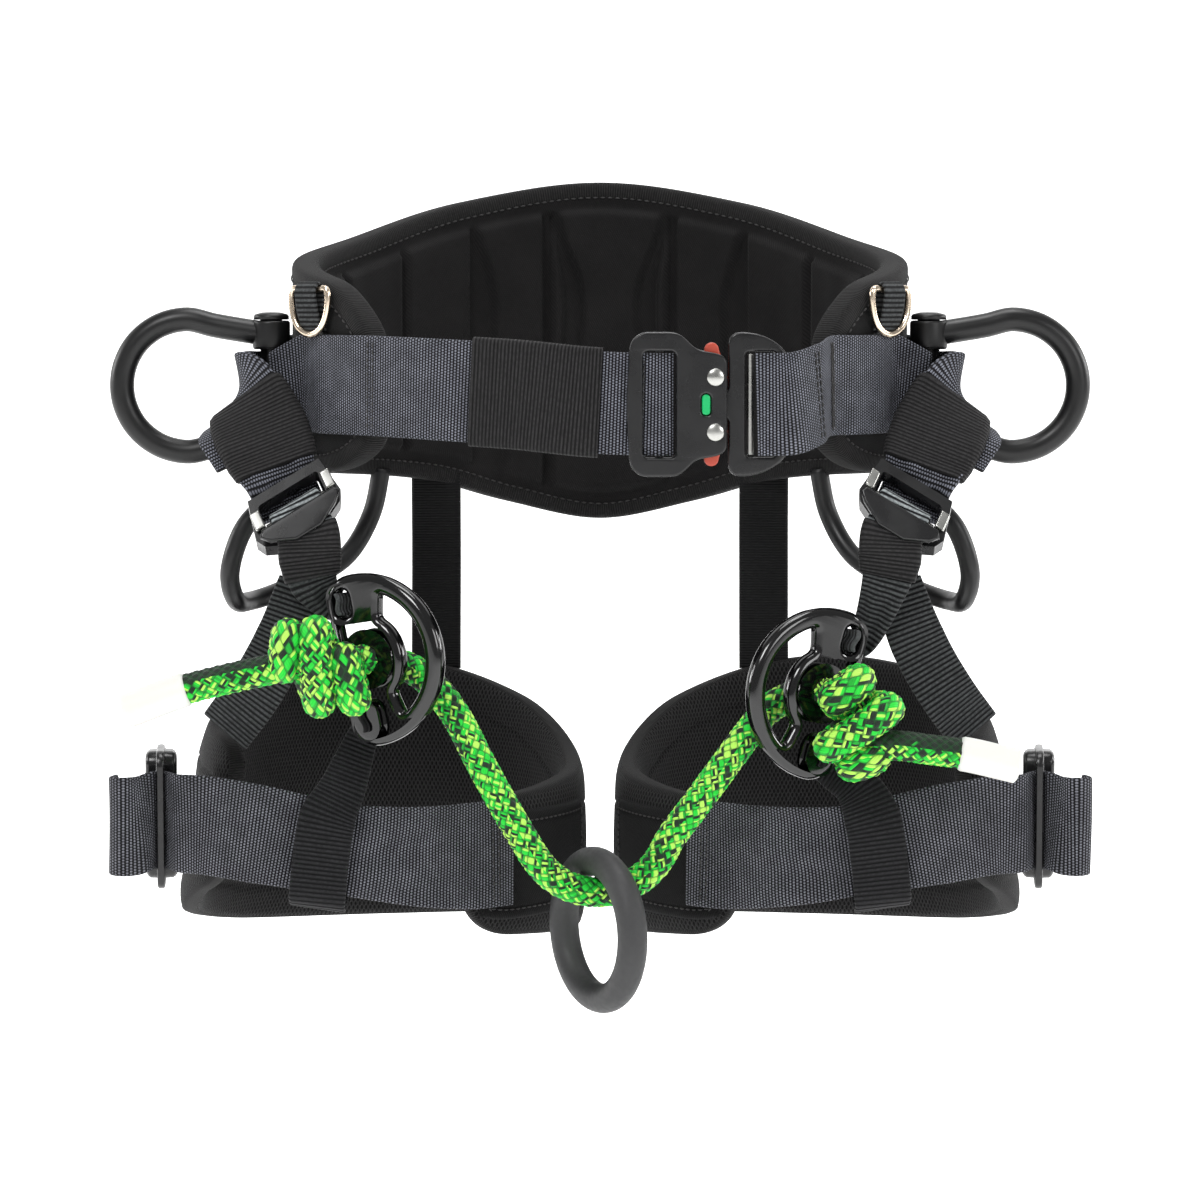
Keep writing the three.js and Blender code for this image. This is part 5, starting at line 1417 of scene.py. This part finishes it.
for word, side in SIDES:
    rows = both_sides(side, suspension_rows)

    def gather(s, a):
        """The cloth crumples towards the adjuster: its waves grow along the strap."""
        grow = smooth_step(60, 74, s) * (1 - smooth_step(88, 96, s))
        return grow * (0.8 * np.sin(a / 3.1 + s / 6)
                       + 0.5 * np.sin(a / 1.7 - s / 4)) + 0.1 * np.sin(s / 9 + a / 14)

    layers = [ribbon(f"suspension_{word}_{part}", rows, 2.1, 1.0, wave=gather, shift=shift)
              for part, shift in (("outer", side * 1.25), ("inner", -side * 1.25))]
    grey_webbing.on(*layers)
    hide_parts(f"suspension_{word}")
    band = sleeve_on(f"suspension_elastic_{word}", rows, SUSPENSION, 0.35, 0.61, 1.1)
    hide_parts(f"suspension_keeper_{word}")
    tail_rows = both_sides(side, [((BOLT[0] + 8, BOLT[1] - 1, EYES - 2), (-0.15, -0.1, 0.98), 31),
                                  ((BOLT[0] + 12, BOLT[1] - 9, EYES - 4), (-0.45, -0.05, 0.89), 36),
                                  ((BOLT[0] + 13, -52, -8), (-0.7, 0.1, 0.7), 41),
                                  ((BOLT[0] + 10, -61, -15), tuple(BAR_WAY), 43),
                                  ((BOLT[0] + 3, -69, -26), tuple(BAR_WAY), 41)])
    spare = ribbon(f"suspension_spare_{word}", tail_rows, 2.0, 1.0, wave=soft_wave(0.3, 40, 0.05))
    grey_webbing.on(spare)
    for piece in (*layers, band, spare):
        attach(piece, "saddle")
    softened(f"adjuster_{word}", f"adjuster_{word}_frame", 0.9, black_anodised, "saddle")
    facing = on_basis(ADJUSTER, BAR_WAY, -DOWN, FACE, side)
    lip = plate(f"adjuster_lip_{word}", np.array(LIP, float), [], 3.4, 1.3, lambda x, y,
                z: facing(x, y, z + 11.4))
    black_anodised.on(lip)
    guides = [plate(f"bar_guide_{word}_{part}", round_rect(at, 2.0, 4.6, 8.5, 1.0), [], 2.6, 0.7,
                    lambda x, y, z: facing(x, y, z + 7.6))
              for part, at in (("inner", 18.2), ("outer", -18.2))]
    bright_steel.on(*guides)
    for piece, slot in ((lip, "black_buckle"), *((guide, "bright_steel") for guide in guides)):
        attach(piece, "saddle")
    softened(f"adjuster_slider_{word}", f"adjuster_bar_{word}", 0.25, bright_steel,
             f"adjuster_slider_{word}", segments=2, angle=45)

# %% [markdown]
# ## Bridge plates
# A bridge plate is an 8 mm forging polished to a high gloss. It hangs by webbing through two slots,
# the rope passes its round hole, and a crescent is cut out between the hole and its bow. With edges
# rounded almost to half its thickness, rim and struts look like bars, as they do on the real part.

# %% Bridge plates
PLATES = {"left": (-1, (-99.5, -110, -114), 14), "right": (1, (95.5, -110, -129), 18)}
STRAIGHT, CORNER, HALF_LONG, BOW, RIM = 16, 13, 38, 37, 8
WEB_SLOT = (-7.5, 26, 7.5, 14)


def turn_about(axis, degrees):
    """Rotation matrix about X, Y or Z."""
    c, s = math.cos(math.radians(degrees)), math.sin(math.radians(degrees))
    i, j = {"x": (1, 2), "y": (2, 0), "z": (0, 1)}[axis]
    m = np.eye(3)
    m[i, i], m[j, j], m[i, j], m[j, i] = c, c, -s, s
    return m


def plate_place(side, hole, lean):
    """Across, up and out of a bridge plate, turned to face outwards and leaned, to the saddle."""
    m = turn_about("z", side * 30) @ turn_about("y", side * lean) @ turn_about("x",
                                                                               90) @ np.diag([-side,
                                                                                              1, 1])
    return lambda x, y, z: np.array(hole) + np.stack([x, y, z], -1) @ m.T


def bridge_plate_outline():
    middle, flat = CORNER - STRAIGHT, HALF_LONG - CORNER
    bow_x = BOW + STRAIGHT - CORNER
    return np.vstack([arc(middle, 0, bow_x, -90, 90, 60, ry=HALF_LONG)[:-1],
                      arc(middle, flat, CORNER, 90, 180, 14),
                      arc(middle, -flat, CORNER, 180, 270, 14)[:-1]])


def crescent():
    """Between the strut round the rope hole and the rim of the bow, its corners rounded."""
    middle, bow_x, reach = CORNER - STRAIGHT, BOW + STRAIGHT - CORNER, 62
    a = np.radians(np.linspace(-reach, reach, 40))
    outer = np.stack([middle + (bow_x - RIM) * np.cos(a), (HALF_LONG - RIM) * np.sin(a)], 1)
    inner = np.stack([15.5 * np.cos(a) + 2, 18.5 * np.sin(a)], 1)[::-1]
    loop = even(np.column_stack([np.vstack([outer, inner, outer[:1]]), np.zeros(81)]), 0.8)[:-1, :2]
    for _ in range(5):
        loop = (np.roll(loop, 1, 0) + 2 * loop + np.roll(loop, -1, 0)) / 4
    return loop


for word, (side, hole, lean) in PLATES.items():
    x, y, wide, tall = WEB_SLOT
    holes = [circle(0, 0, 9.8, 40), *(round_rect(x, up * y, wide, tall - 2, 3.4) for up in (1, -1)),
             crescent()]
    piece = plate(f"bridge_plate_{word}_forged", bridge_plate_outline(), holes, 8, 3.3,
                  plate_place(side, hole, lean), 6)
    gloss_black.on(piece)
    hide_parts(f"bridge_plate_{word}")
    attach(piece, "saddle")

# %% [markdown]
# ## Leg pads
# A leg pad is a foam band wrapped in spacer mesh that is open at the front. Foam swells between its
# bound edges, so both faces are crowned: full thickness in the middle, about half at the rim. On
# the inner wing a patch of plain cloth is sewn on, which carries the end of the leg strap.

# %% Leg pads
LEG_X, LEG_WIDE, LEG_DEEP, LEG_THICK = 103, 97, 92, 14
LEG_FROM, LEG_TO = -62, 222
LEG_PER_DEGREE = 1.62  # millimetres round the pad
LEG_TOP = [(LEG_FROM, -182), (-25, -178), (10, -171), (45, -150), (88, -134), (130, -138),
           (165, -149), (LEG_TO, -157)]
LEG_FOOT = [(LEG_FROM, -242), (-20, -247), (30, -252), (90, -259), (140, -256), (180, -243),
            (LEG_TO, -222)]


def leg_at(side):
    """A point of one leg pad: an ellipse whose outer side leans in towards its top."""
    def at(angle, out, z):
        t = np.radians(angle)
        lean = 16 * np.clip(-np.cos(t), 0, None) * np.clip(z + 250, 0, None) / 100
        inside = LEG_THICK - out
        x = LEG_X - (LEG_WIDE - inside - lean) * np.cos(t)
        return np.stack(np.broadcast_arrays(side * x, (LEG_DEEP - inside) * np.sin(t), z), -1)
    return at


def leg_drop(angle):
    inside = np.minimum(angle - LEG_FROM, LEG_TO - angle)
    past = np.clip((14 - inside) / 14, 0, 1)
    return 18 * (1 - np.sqrt(1 - past**2))


def crown(rim, deep, full=17):
    """How far a face sinks near the rim: a quarter circle over the first stretch."""
    t = np.clip(rim / full, 0, 1)
    return -deep * (1 - np.sqrt(1 - (1 - t) ** 2))


def leg_inner(angle, z, rim):
    quilt = 0.8 * np.sin(z / 9.5 + angle / 16) * smooth_step(8, 20, rim)
    return crown(rim, 3.2) + 0.5 * quilt - 1.0 * channel(rim, 15, 0.4, 1.3)


def leg_outer(angle, z, rim):
    folds = np.sin(angle / 5.5 + z / 13) * 0.5 + np.sin(angle / 2.9 - z / 21) * 0.3
    return crown(rim, 3.4) - 0.7 + folds * smooth_step(6, 20, rim) - 0.9 * channel(rim, 17, 0.4,
                                                                                   1.3)


leg_bands = {}
for word, side in SIDES:
    band = Band(leg_at(side), (LEG_FROM + 0.7, LEG_TO - 0.7),
                lambda a: eased(LEG_TOP, a) - leg_drop(a),
                lambda a: eased(LEG_FOOT, a) + leg_drop(a), LEG_THICK, LEG_PER_DEGREE)
    leg_bands[word] = band
    pad = band.body(f"leg_pad_{word}_foam", 0, LEG_THICK, leg_inner, leg_outer, 330, 64)
    tape = band.tape(f"leg_binding_{word}", 10, 2.6, LEG_THICK - 2.6)
    rows = [band.seam(f"leg_seam_{word}_outside", 7.4, LEG_THICK - 2.4, 1),
            band.seam(f"leg_seam_{word}_inside", 7.4, 2.4, -1)]
    pad_mesh.on(pad)
    binding_tape.on(tape)
    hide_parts(f"leg_pad_{word}")
    for piece in (pad, tape, *rows):
        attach(piece, f"leg_loop_{word}")

    # The patch on the inner wing, with its own sewn edge.
    patch = Band(leg_at(side), (-59, -12), lambda a: 0 * a - 187.5 - 0.35 * leg_drop(a),
                 lambda a: 0 * a - 236 + 0.4 * leg_drop(a),
                 LEG_THICK, LEG_PER_DEGREE)
    cloth = patch.body(f"leg_patch_{word}", LEG_THICK - 3.2, LEG_THICK + 0.1, lambda a, z, r: 0 * z,
                       lambda a, z,
                       r: 0.5 - 1.2 * (1 - smooth_step(0, 1.6, r)) - 0.5 * channel(r, 5, 0.3, 0.8),
                       60, 40)
    patch_cloth.on(cloth)
    edge = patch.seam(f"leg_patch_seam_{word}", 4.6, LEG_THICK + 0.45, 1, 3.4)
    for piece in (cloth, edge):
        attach(piece, f"leg_loop_{word}")
print("leg pads:", len(pad.data.polygons), "faces each")

# %% [markdown]
# ## Leg straps and buckles
# The leg strap is sewn to the patch, crosses the open front and goes round the slot of the leg
# buckle, and its spare end is folded back on itself. It bunches a little where the riser is looped
# round it.

# %% Leg buckles
LEG_BUCKLE = (197, -66, -189)
LEG_WAY = unit(np.array((0.1, 1, 0)))
LEG_OUT = np.cross(LEG_WAY, UP)
for word, side in SIDES:
    place = on_basis(LEG_BUCKLE, LEG_WAY, np.array(UP), LEG_OUT, side)
    body = plate(f"leg_buckle_{word}_plate", round_rect(-4, 0, 36, 62, 7, 10),
                 [round_rect(-14.5, 0, 8, WEB + 2, 2.5)], 3.5, 1.1, place)
    lid = plate(f"leg_buckle_{word}_housing", round_rect(4.5, 0, 19, 58, 6, 8), [], 14, 3.2, place)
    frame_x = 36 / 2 - 4 + 0.4
    tall = 62 / 2 - 4
    half = np.vstack([[[1.0, 15.0], [frame_x, 15.0]], arc(frame_x + 6, tall - 6, 6, 180, 90, 8),
                      arc(frame_x + 11, tall - 6, 6, 90, 0, 8)])
    outline = np.vstack([half, (half * [1, -1])[::-1]])
    tongue = plate(f"leg_tongue_{word}_plate", outline, [round_rect(frame_x + 9, 0, 6, WEB + 1, 2)],
                   TONGUE_THICK, 1.1, place)
    black_anodised.on(body, lid, tongue)
    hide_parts(f"leg_buckle_{word}")
    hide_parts(f"leg_tongue_{word}")
    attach(body, f"leg_loop_{word}")
    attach(lid, f"leg_loop_{word}")
    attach(tongue, f"leg_tongue_{word}")

# %% Leg straps
leg_rise = LEG_BUCKLE[2]


def wing_point(angle, out, z):
    return tuple(leg_at(1)(float(angle), LEG_THICK + out, float(z)))


strap_rows = [
    (wing_point(-50, LAY_ON + 1.6, -205), UP, WEB + 4),
    (wing_point(-61, LAY_ON + 1.6, -205), (0.05, 0, 1), WEB + 4),
    ((81, -98, -203), (0.1, 0, 1), WEB), ((112, -105, -199), UP, WEB - 4),
    *(((x, y, leg_rise + up), UP, WEB) for x, y, up in (
        (150, -105, -3), (174, -99, 0), (187, -92.5, 0), (190.6, -86, 0), (195.6, -79.8, 0),
        (199.8, -86.5, 0), (204.5, -93.5, -1), (211, -97, -1), (216, -93, -1), (214.5, -86, -1))),
]


def bunching(s, a):
    """Pleats that are deepest where the riser pulls the strap together, and fade on both sides."""
    near = np.exp(-((s - 62) / 20) ** 2)
    return near * 1.1 * np.sin(a / 3.4 + s / 14) + 0.35 * np.sin(s / 9 + a * 0.07)


for word, side in SIDES:
    strap = ribbon(f"leg_strap_{word}_web", both_sides(side, strap_rows), THICK, 1.0, wave=bunching)
    leg_webbing.on(strap)
    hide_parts(f"leg_strap_{word}")
    sewing = sewn_across(f"leg_strap_seam_{word}", both_sides(side, strap_rows), THICK, 0.035, 0, 2,
                         0.5)
    for piece in (strap, *sewing):
        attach(piece, f"leg_loop_{word}")

# %% [markdown]
# ## Risers, ties and gear loops
# Flat straps at the back and padded ones at the hips join the two halves of the saddle. The hoses for
# hanging gear on spring out from the foot of the waist pad.

# %% Straps that bend
riser_top = waist_point(36.4, PAD_OUT / 2, float(eased(WAIST_FOOT, np.array([36.4]))[0]) - 2)
riser_foot = tuple(leg_at(1)(76.3, LEG_THICK / 2, float(eased(LEG_TOP, np.array([76.3]))[0]) + 3))
RISER_X = 80
rear_rows = [((RISER_X, y, z), (1, 0, 0), NARROW - 1) for y, z in (
    (riser_top[1], riser_top[2] + 6), (riser_top[1] + 1, riser_top[2] - 25),
    (riser_foot[1] + 4, riser_foot[2] + 22), (riser_foot[1], riser_foot[2] - 5))]
hip_rows = [(at, (0, 1, 0), NARROW + more) for at, more in (
    ((137.5, -1, -40), 0), ((143, 2, -75), 0), ((147, 4, -108), 0), ((162, 4, -134), 4),
    ((176, 4, -149), 10))]


def bend_with_leg(piece):
    """Bakes the piece's placement into its mesh."""
    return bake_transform(piece)


for word, side in SIDES:
    rear_riser = ribbon(f"rear_riser_{word}_web", both_sides(side, rear_rows), 3.0, 1.5,
                        wave=soft_wave(0.5, 60, 0.02))
    hip = ribbon(f"hip_riser_{word}_pad", both_sides(side, hip_rows), 6.0, 1.5, wave=lambda s,
                 a: -1.1 * smooth_step(8.5, 12, np.abs(a)))
    flat_webbing.on(rear_riser)
    cover_cloth.on(hip)
    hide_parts(f"rear_riser_{word}")
    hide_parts(f"hip_riser_{word}")
    hip_seams = []
    for edge in (-1, 1):
        middle, wide, normal, half = strap_frame(both_sides(side, hip_rows),
                                                 np.linspace(0.06, 0.95, 200))
        outward = normal * np.sign(normal[:, :1] * side)
        line = middle + wide * (edge * (half - 3.4))[:, None] + outward * 2.6
        hip_seams.append(stitches(f"hip_seam_{word}_{'back' if edge > 0 else 'front'}", line,
                                  outward, 3.6, 2.6, 0.4))
    for piece in (rear_riser, hip, *hip_seams):
        bend_with_leg(piece)

    hose_route = np.array([(105, 62, -40), (110, 62, -62), (122, 51, -82), (146, 31, -94),
                           (163, 8, -99), (168, -16, -96), (169, -29, -82),
                           (162, -30, -62), (150, -25, -50), (139, -19, -43.5)]) * [side, 1, 1]
    hose_line = line_of(hose_route, 2.0)
    hose = bar(f"gear_hose_{word}", hose_line, 4.5, 24)
    hose_rubber.on(hose)
    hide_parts(f"gear_loop_{word}")
    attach(hose, f"gear_loop_{word}")


# %% Straps from the adjusters to the plates and the legs
def adjuster_point(up, out):
    return tuple(ADJUSTER - DOWN * up + FACE * out)


for word, (side, hole, lean) in PLATES.items():
    place = plate_place(side, hole, lean)
    spot = lambda x, y, z=0.0: place(*(np.array(v, float) for v in (x, y, z)))
    plate_up = tuple(spot(0, 1) - spot(0, 0))
    x, y, _, tall = WEB_SLOT
    gathered = tall - 4
    flip = lambda p: tuple(np.array(p) * [side, 1, 1])
    level = flip(BAR_WAY)
    upper_rows = [(flip(adjuster_point(*p)), level, NARROW) for p in
                  ((-14, -8.4), (-8, -8.4), (-1.6, -5), (1.3, 0), (1.6, 4), (-0.6, 7.4), (-5, 8.4),
                   (-16, 9))]
    lower_rows = [upper_rows[-1], ((side * 127, -96, -72), (-side, 0.1, 0.1), NARROW),
                  ((side * 125, -96, -83), (-side, 0.15, 0.1), NARROW - 4),
                  (tuple(spot(x - 12, y, -9)), (-side * 0.5, 0.2, 0.8), gathered + 2),
                  (tuple(spot(x - 1, y, -5.5)), plate_up, gathered),
                  (tuple(spot(x, y, 6)), plate_up, gathered)]
    whole = [*upper_rows, *lower_rows[1:]]
    over_bar = ribbon(f"strap_over_bar_{word}", whole, THICK, 0.7, 0, 0.6)
    striped_webbing.on(over_bar)
    to_plate = ribbon(f"strap_to_plate_{word}", whole, THICK, 0.7, 0.595, 1, wave=lambda s,
                      a: 0.7 * np.sin(a / 1.5) * smooth_step(12, 34, s))
    ribbed_webbing.on(to_plate)
    band = sleeve_on(f"strap_elastic_{word}", whole, THICK, 0.565, 0.725, 0.8)
    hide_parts(f"plate_strap_{word}")
    tie_rows = [((side * 131, -87, -83), (side * 0.95, 0.05, 0.2), NARROW - 3),
                ((side * 140, -88, -108), (side * 0.92, 0.05, 0.38), NARROW),
                ((side * 153, -85, -131), (side * 0.88, 0.1, 0.45), NARROW),
                ((side * 167, -75, -150), (side * 0.85, 0.2, 0.5), NARROW)]
    tie = ribbon(f"leg_tie_{word}_web", tie_rows, THICK, 0.8, wave=lambda s, a: 0.4 * np.sin(s / 5))
    ribbed_webbing.on(tie)
    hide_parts(f"leg_tie_{word}")
    riser_rows = [(tuple(spot(x, -y, 6)), plate_up, gathered),
                  (tuple(spot(x, -y, -3)), plate_up, gathered),
                  (tuple(spot(x - 9, -y - 3, -9)), (side * 0.5, 0, 0.8), gathered + 2),
                  ((side * 113, -106, -172), (side, 0, 0.1), NARROW - 4),
                  ((side * 119, -112, -184), (side, 0, 0.15), NARROW),
                  ((side * 122, -112, -202), (side, 0, 0.15), NARROW),
                  ((side * 124, -110, -221), (side, 0, 0.15), NARROW),
                  ((side * 124, -104, -224), (side, 0, 0.15), NARROW),
                  ((side * 123, -100, -219), (side, 0, 0.15), NARROW)]
    riser = ribbon(f"plate_riser_{word}_web", riser_rows, THICK, 0.7, wave=lambda s,
                   a: 0.8 * np.sin(a / 1.7) * (1 - smooth_step(8, 40, s)))
    loop_webbing.on(riser)
    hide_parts(f"plate_riser_{word}")
    for piece in (over_bar, to_plate, band):
        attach(piece, f"adjuster_slider_{word}" if piece is over_bar else "saddle")
    for piece, high, low in ((tie, -90, -140), (riser, -150, -190)):
        bend_with_leg(piece)

# %% [markdown]
# ## Floor and light
# A pale sweep and broad soft lights, one large one in front and above, two at the sides for the
# edges of the black parts, and an even pale surround that the metal reflects.

# %% Stage
low = min(cad_box[0][2], -0.2706)
floor_at = low - 0.001
sweep_line = [(-6.0, 0.0), (1.2, 0.0), (2.2, 0.25), (2.8, 1.1), (3.0, 2.4), (3.0, 5.0)]
sweep = curve_at([(0, y, z) for y, z in sweep_line], np.linspace(0, 1, 60))
xs = np.linspace(-6, 6, 9)
floor_grid = np.stack([np.stack([xs, np.full(9, y), np.full(9, z + floor_at)], 1) for _, y,
                       z in sweep]) / MM
floor = grid_object("floor", floor_grid, wrap_columns=False)
paper = Finish("paper", (0.9, 0.9, 0.9), Roughness=0.9, Emission_Color=(1, 1, 1, 1),
               Emission_Strength=0.75)
paper.on(floor)


def soft_light(name, spot, size, power, aim=(0, 0, -0.1)):
    """A square area light turned towards a point."""
    data = bpy.data.lights.new(name, "AREA")
    data.size, data.energy = size, power
    lamp = bpy.data.objects.new(name, data)
    lamp.location = spot
    lamp.rotation_euler = (Vector(aim) - Vector(spot)).to_track_quat("-Z", "Y").to_euler()
    bpy.context.scene.collection.objects.link(lamp)


soft_light("key", (-0.8, -1.7, 1.5), 0.7, 27)
soft_light("fill", (1.5, -1.6, 0.7), 0.8, 14)
soft_light("top", (0.1, 0.0, 1.7), 0.9, 21)
soft_light("rim_left", (-1.8, 0.3, 0.4), 0.6, 13)
soft_light("rim_right", (1.8, 0.4, 0.4), 0.6, 13)
world = bpy.data.worlds.new("surround")
world.use_nodes = True
world.node_tree.nodes["Background"].inputs[0].default_value = (1, 1, 1, 1)
world.node_tree.nodes["Background"].inputs[1].default_value = 0.36
bpy.context.scene.world = world
bpy.context.scene.view_settings.view_transform = "Standard"

# %% Finish
print("CAD box", [[round(x, 4) for x in c] for c in cad_box])
